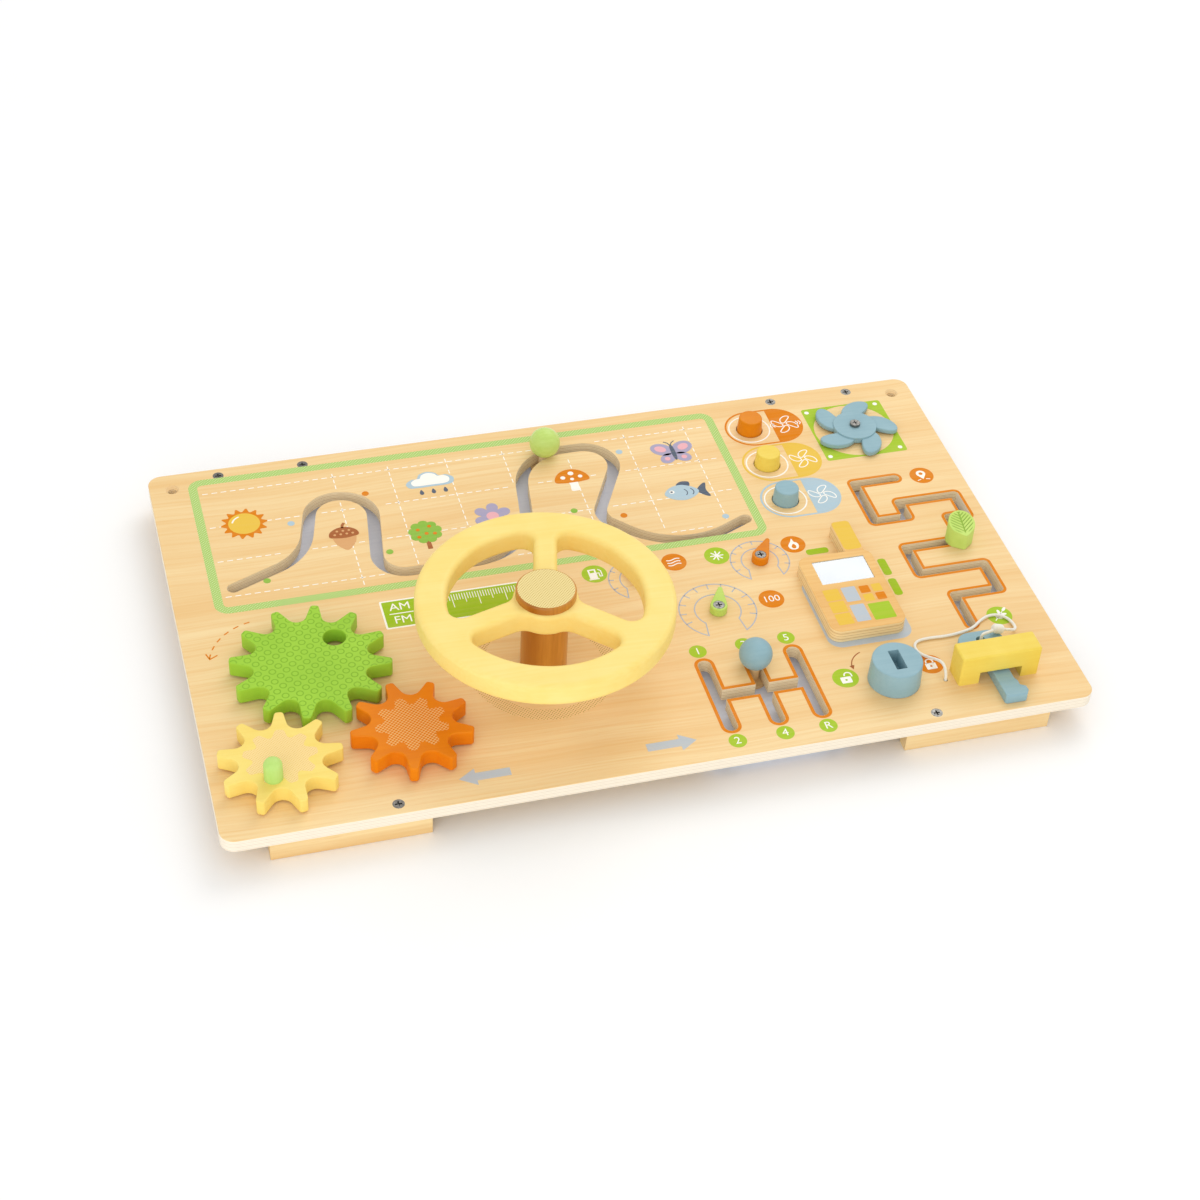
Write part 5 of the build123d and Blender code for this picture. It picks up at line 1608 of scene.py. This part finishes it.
sprig = sign_disc("lime", 265.5, -95)
bar("white", sprig, [(-4.6, -4.6), (0, 0), (3.4, 3.4)], 0.7)
for step, bearing in ((-2.4, 92), (-2.4, -2), (0.8, 92), (0.8, -2), (3.6, 45)):
    leaf_middle = at(sprig, polar((step, step), 2.6, bearing))
    printed("white", ellipse(*leaf_middle, 2.4 * MM, 1.1 * MM, bearing, 20), layer=1)
print("ten discs with their signs")

# %% [markdown]
# ### Buttons and fan
# Each button stands in a long round field whose right part is filled and carries a fan drawn in a white
# line. That fan is one blade, an ellipse bent round the fan's middle, which a loop draws on four
# bearings. The wooden fan turns over a circle of bare wood in a green square. Places and sizes in this
# cell are in millimetres, like those of the marks, until `MM` is put to them.

# %% Button fields and fan square
field_middle, field_half_length, field_half_width, field_round = 170.0, 31.0, 21.0, 20.9
fill_edge, fill_half = 176.5, 19.4
ring_middle, ring_drop, ring_radius = 157.8, 0.6, 15.8
fan_sign_x, arrow_x = 187.0, 187.5
sign_blade_turn = -80.0


def swept(loop, centre, turn):
    """Turn each point of a loop about a centre by an angle of turn times its distance."""
    away = loop - centre
    angle = np.arctan2(away[:, 1], away[:, 0]) + turn * np.linalg.norm(away, axis=1)
    return centre + np.linalg.norm(away, axis=1)[:, None] * toward(angle)


for ink_name, y in (("orange", 147.0), ("yellow", 103.5), ("light_blue", 60.0)):
    left, right = (field_middle - field_half_length) * MM, (field_middle + field_half_length) * MM
    front, back = (y - field_half_width) * MM, (y + field_half_width) * MM
    printed_line(ink_name, oblong(left, right, front, back, field_round * MM, 16), 0.0, 1.5 * MM)
    right_middle = (right - field_round * MM, y * MM)
    printed(ink_name, np.vstack([
        [(fill_edge * MM, (y - fill_half) * MM)],
        arc(right_middle, fill_half * MM, -np.pi / 2, np.pi / 2, 30),
        [(fill_edge * MM, (y + fill_half) * MM)],
    ]))
    ring = circle(ring_middle * MM, (y - ring_drop) * MM, ring_radius * MM, 72)
    printed_line("white", ring, 0.55 * MM, 0.55 * MM, 1)
    sign = np.array([fan_sign_x, y]) * MM
    for bearing in (20, 110, 200, 290):
        blade = ellipse(*polar(sign, 6.2 * MM, bearing), 4.6 * MM, 2.8 * MM, bearing)
        printed_line("white", swept(blade, sign, sign_blade_turn), 0.4 * MM, 0.4 * MM, 1)
for direction in (-1, 1):
    for tip in (10.2, 12.4):
        arrow = np.array([(tip - 1.4, 2.2), (tip, 0), (tip - 1.4, -2.2)]) * (direction, 1)
        bar("white", at(board_middle, (arrow_x, 147)), arrow, 0.8)

fan_square = at(board_middle, (237.5, 128.8))
square_corners = [(-32.7, -32.3), (32.7, -32.3), (32.7, 32.3), (-32.7, 32.3)]
printed("lime", rounded(at(fan_square, square_corners), 2.2 * MM), [circle(*fan_square, 31.0 * MM, 120)])
for x in (208.5, 265.5):
    for y in (101.2, 156.8):
        spot("white", board_middle, x, y, 1.8, steps=20)
print("three button fields and the fan's square")

# %% [markdown]
# ### Radio strip and arrows
# The strip behind the wheel is a radio scale, as on an old car radio, where every fifth and every tenth
# mark is taller. Arrows on the board show which way things go.

# %% Radio strip and arrows
strip = rounded(at(board_middle, [(-160, -15), (-40, -15), (-40, 14), (-160, 14)]), 1.2 * MM)
inner_strip = [(-158.6, -13.6), (-41.4, -13.6), (-41.4, 12.6), (-158.6, 12.6)]
printed("white", strip)
printed("radio_green", rounded(at(board_middle, inner_strip), 0.8 * MM), layer=1)
for text, y in (("AM", 6.2), ("FM", -7.2)):
    lettering("white", text, -146.6 * MM, y * MM, 10.5 * MM, 2)
bar("white", board_middle, [(-155, -0.4), (-138, -0.4)], 0.9, 2)
scale_top, mark_width = 10.6, 0.55
for count, x in enumerate(np.arange(-128, -45, 1.9)):
    tall = 13.5 if count % 10 == 0 else 9.5 if count % 5 == 0 else 6.2
    bar("white", board_middle, [(x, scale_top - tall), (x, scale_top)], mark_width, 2)

board_arrow = np.array([(-17, -3.4), (6, -3.4), (6, -7.4), (17.5, 0), (6, 7.4), (6, 3.4), (-17, 3.4)])
for direction, x in ((-1, -125.5), (1, 1.0)):
    printed("blue_grey", at(at(board_middle, (x, -164.5)), board_arrow * (direction, 1)))

gear_turn = arc((-243, -27), 41, np.radians(101), np.radians(166), 12)
for start, end in zip(gear_turn[:-1:2], gear_turn[1::2]):
    bar("orange", board_middle, [start, end], 1.0, 0)
bar("orange", at(board_middle, (-281.5, -15.5)), [(-3.2, 3.4), (-1.2, -2.4), (4.4, 0.6)], 1.0, 0)
bar("brown", board_middle, arc((160, -124), 16, np.radians(110), np.radians(168), 10), 0.8, 0)
printed("brown", at(at(board_middle, (144.6, -121.4)), [(-1.9, 0.9), (0, -2.8), (1.9, 1.4)]))
print("radio strip, two board arrows and two turning arrows")

# %% [markdown]
# ### The radio's own prints
# A pale blue shadow and green side keys are printed on the board round the radio. The keypad lies on the
# radio's top face. All of them are rectangles with round corners, so a table of their sides is enough:
# left, right, front and back.

# %% Radio prints
side_key_round, key_round, antenna_round, shadow_round = 2.4 * MM, 0.9 * MM, 3.0 * MM, 10 * MM
printed("blue_grey", oblong(136.6 * MM, 199 * MM, -101.8 * MM, -30 * MM, shadow_round, 12))
for sides in ((200.6, 206.8, -37, -19), (200.6, 206.8, -59, -41), (153, 170, -4, 2)):
    printed("radio_green", oblong(*(MM * np.array(sides)), side_key_round))
for ink_name, *sides, corner in (
    ("yellow", 145.2, 156.8, -65.0, -53.3, key_round), ("yellow", 145.2, 156.8, -77.6, -66.2, key_round),
    ("yellow", 145.2, 156.8, -90.2, -78.8, key_round), ("blue_grey", 159, 169.6, -68.4, -53.3, key_round),
    ("blue_grey", 159, 169.6, -89.4, -72, key_round), ("orange", 172.1, 179.4, -61.7, -54.3, key_round),
    ("yellow", 181.5, 188.5, -61.7, -54.0, key_round), ("yellow", 172.1, 179.4, -70.6, -63.2, key_round),
    ("orange", 181.5, 188.5, -70.6, -63.2, key_round), ("lime", 172.1, 188.2, -90.2, -73.2, key_round),
    ("yellow", 176.6, 189.9, -15.2, 15.9, antenna_round),
):
    printed(ink_name, oblong(*(MM * np.array(sides)), corner), surface="radio")
print("keypad of ten keys, and the aerial")

# %% [markdown]
# ### One piece for each ink
# The prints that share an ink and a surface are joined to one piece, so that a hundred dashes are one
# object.

# %% One piece for each ink
for (surface, ink_name), shapes in prints.items():
    piece(surface + "_print_" + ink_name, joined(shapes), inks[ink_name], "board")

column_outer, column_inner = 51.4 * MM, 42.0 * MM
column_hole = circle(*wheel_centre, column_inner, 120)[::-1]
column_ring = inked(circle(*wheel_centre, column_outer, 120), [column_hole], panel_top)
piece("column_ring_print", column_ring, ring_ink, "board")
print(sum(map(len, prints.values())), "prints in", len(prints), "pieces")

# %% [markdown]
# ## The string
# The string leaves a hole in the board, loops across it and ends in a knot on the key's bow. Its
# middle line is a smooth curve with the route's places as its control points. A curve object with a
# bevel would give a plain pipe, and a pipe looks like wire. So the braid is a tube round that line
# whose radius swells where strands cross.

# %% String route
string_diameter = 2.2 * MM
string_hole = np.array([203.1, -148.1, 28.0]) * MM
string_route = string_hole + MM * np.array([
    (0, 0, -12.5), (0, 0, -3.5), (0.1, 0.9, 4.6), (0.7, 7.1, 7.8), (-0.3, 14.2, 5.8), (-3.5, 20.7, 2.6),
    (-7.4, 25.9, 1.3), (-10, 31.1, 1.3), (-9.1, 36.8, 1.3), (-4.5, 40.3, 1.3), (4.6, 40.9, 1.3),
    (16.4, 39.9, 1.4), (28.4, 41.2, 1.4), (38.2, 43.7, 1.4), (45.5, 49.5, 1.4), (53.5, 53.5, 1.4),
    (61.7, 52.7, 1.4), (66.8, 46.9, 1.4), (67.9, 38.7, 2), (64.8, 32.5, 4.6), (59.2, 29.5, 8.2),
    (53.1, 29.1, 10.4),
])


def smooth_line(route, fineness=40):
    """Points of a NURBS curve of order 3 that starts and ends on its first and last control points."""
    curve = bpy.data.curves.new("string_line", "CURVE")
    curve.dimensions = "3D"
    spline = curve.splines.new("NURBS")
    spline.points.add(len(route) - 1)
    spline.points.foreach_set("co", np.column_stack([route, np.ones(len(route))]).ravel())
    spline.order_u = 3
    spline.use_endpoint_u = True
    curve.resolution_u = fineness
    holder = bpy.data.objects.new("string_line", curve)
    mesh = bpy.data.meshes.new_from_object(holder)
    points = np.empty(len(mesh.vertices) * 3, np.float32)
    mesh.vertices.foreach_get("co", points)
    bpy.data.objects.remove(holder)
    bpy.data.meshes.remove(mesh)
    return points.reshape(-1, 3).astype(float)


string_line = smooth_line(string_route)

# %% [markdown]
# ### A tube that doesn't twist
# A tube needs two directions across its line at every point. If they came from the world's axes, they
# would spin where the line points along one of them. So the first direction is carried along the line
# and only straightened a little at each point.

# %% Braided tube
first_normal = np.array([1.0, 0.05, 0.02])
braid_around, braid_strands, braid_pitch, braid_step = 16, 4, 4.2 * MM, 0.28 * MM
braid_swell = 0.07


def tube(centre, reach):
    """Closed tube along a line, where reach gives its radius at each point and each angle.

    The first normal is carried along the line: at each point, its part along the tangent is taken out.
    A point is centre + reach (cos a normal + sin a side), where side is tangent cross normal.
    """
    around = reach.shape[1]
    tangent = unit(np.gradient(centre, axis=0))
    normal = np.empty_like(tangent)
    carried = first_normal
    for row, direction in enumerate(tangent):
        carried = carried - direction * (carried @ direction)
        carried = carried / np.linalg.norm(carried)
        normal[row] = carried
    side = np.cross(tangent, normal)
    angle = np.linspace(0, 2 * np.pi, around, endpoint=False)
    rings = centre[:, None] + reach[..., None] * (
        np.cos(angle)[:, None] * normal[:, None] + np.sin(angle)[:, None] * side[:, None]
    )
    points, faces = grid_skin(rings)
    first, last = len(points), len(points) + 1
    ring = np.arange(around)
    onward = np.roll(ring, -1)
    final = first - around
    start_cap = np.stack([np.full(around, first), onward, ring], 1)
    end_cap = np.stack([np.full(around, last), final + ring, final + onward], 1)
    return np.vstack([points, centre[:1], centre[-1:]]), np.vstack([faces[:, ::-1], start_cap, end_cap])


def braid(line, radius):
    """Tube whose radius is R (1 - k + k |sin(n a + w s)| |sin(n a - w s)|), where k is the swell.

    Here a is the angle round the tube, s the distance along it, n half the number of strands and w half
    a turn of phase for each pitch.
    """
    along = np.concatenate([[0], np.cumsum(np.linalg.norm(np.diff(line, axis=0), axis=1))])
    even = np.linspace(0, along[-1], int(along[-1] / braid_step))
    centre = np.stack([np.interp(even, along, line[:, axis]) for axis in range(3)], 1)
    angle = np.linspace(0, 2 * np.pi, braid_around, endpoint=False)
    phase = np.pi * even[:, None] / braid_pitch
    crossing = braid_strands / 2 * angle
    weave = np.abs(np.sin(crossing + phase)) * np.abs(np.sin(crossing - phase))
    return tube(centre, radius * (1 - braid_swell + braid_swell * weave))


string_piece = piece(
    "key_string", braid(string_line, string_diameter / 2), cotton_string, None, ["string"], 60
)
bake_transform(string_piece)
print("string of", len(string_piece.data.vertices), "points, free between its hole and the key")

# %% [markdown]
# ## Button springs
# Under each button sits a small wire spring. Its wire follows a helix. A Screw modifier could wind it,
# but the tube of the string takes any line, so it serves here too.

# %% Springs
spring_wire = 0.6 * MM
spring_turns = 4
points_in_turn, wire_around = 24, 8


def coil(centre, bottom, top, radius, wire):
    """Helix: x = r cos t, y = r sin t, and z rises evenly over all turns."""
    turns = np.linspace(0, 2 * np.pi * spring_turns, points_in_turn * spring_turns + 1)
    rise = bottom + wire + (top - bottom - 2 * wire) * turns / turns[-1]
    line = np.column_stack([centre + radius * toward(turns), rise])
    return tube(line, np.full((len(line), wire_around), wire))


for button in ("orange_button", "yellow_button", "blue_button"):
    node_name = button + "_spring"
    bottom, top = low(node_name)[2], high(node_name)[2]
    seat = middle(node_name)[:2]
    shape = coil(seat, bottom, top, half_width(node_name) - spring_wire, spring_wire)
    spring = piece(button + "_coil", shape, steel, "board", [node_name], 60)
    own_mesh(spring)
print("three springs of", spring_turns, "turns")

# %% [markdown]
# ## Floor
# The board stands on a pale floor that is far larger than the view, so that its shadow falls on
# something and no edge of the floor shows.

# %% Floor
floor_reach = 6.0
floor_finish, floor_tree, floor_shader, floor_place = new_finish("pale_floor", 0.7)
floor_clouds = noise(floor_tree, floor_place, 3.0)
floor_colour = blended(floor_tree, floor_clouds, linear("FFFFFF"), linear("FBFBFA"))
floor_tree.links.new(floor_colour, floor_shader.inputs["Base Color"])
floor_corners = [(x * floor_reach, y * floor_reach, 0) for x, y in ((-1, -1), (1, -1), (1, 1), (-1, 1))]
floor_mesh = bpy.data.meshes.new("floor")
floor_mesh.from_pydata(floor_corners, [], [(0, 1, 2, 3)])
floor_mesh.materials.append(floor_finish)
floor = bpy.data.objects.new("floor", floor_mesh)
scene.collection.objects.link(floor)
print("floor of", 2 * floor_reach, "m")
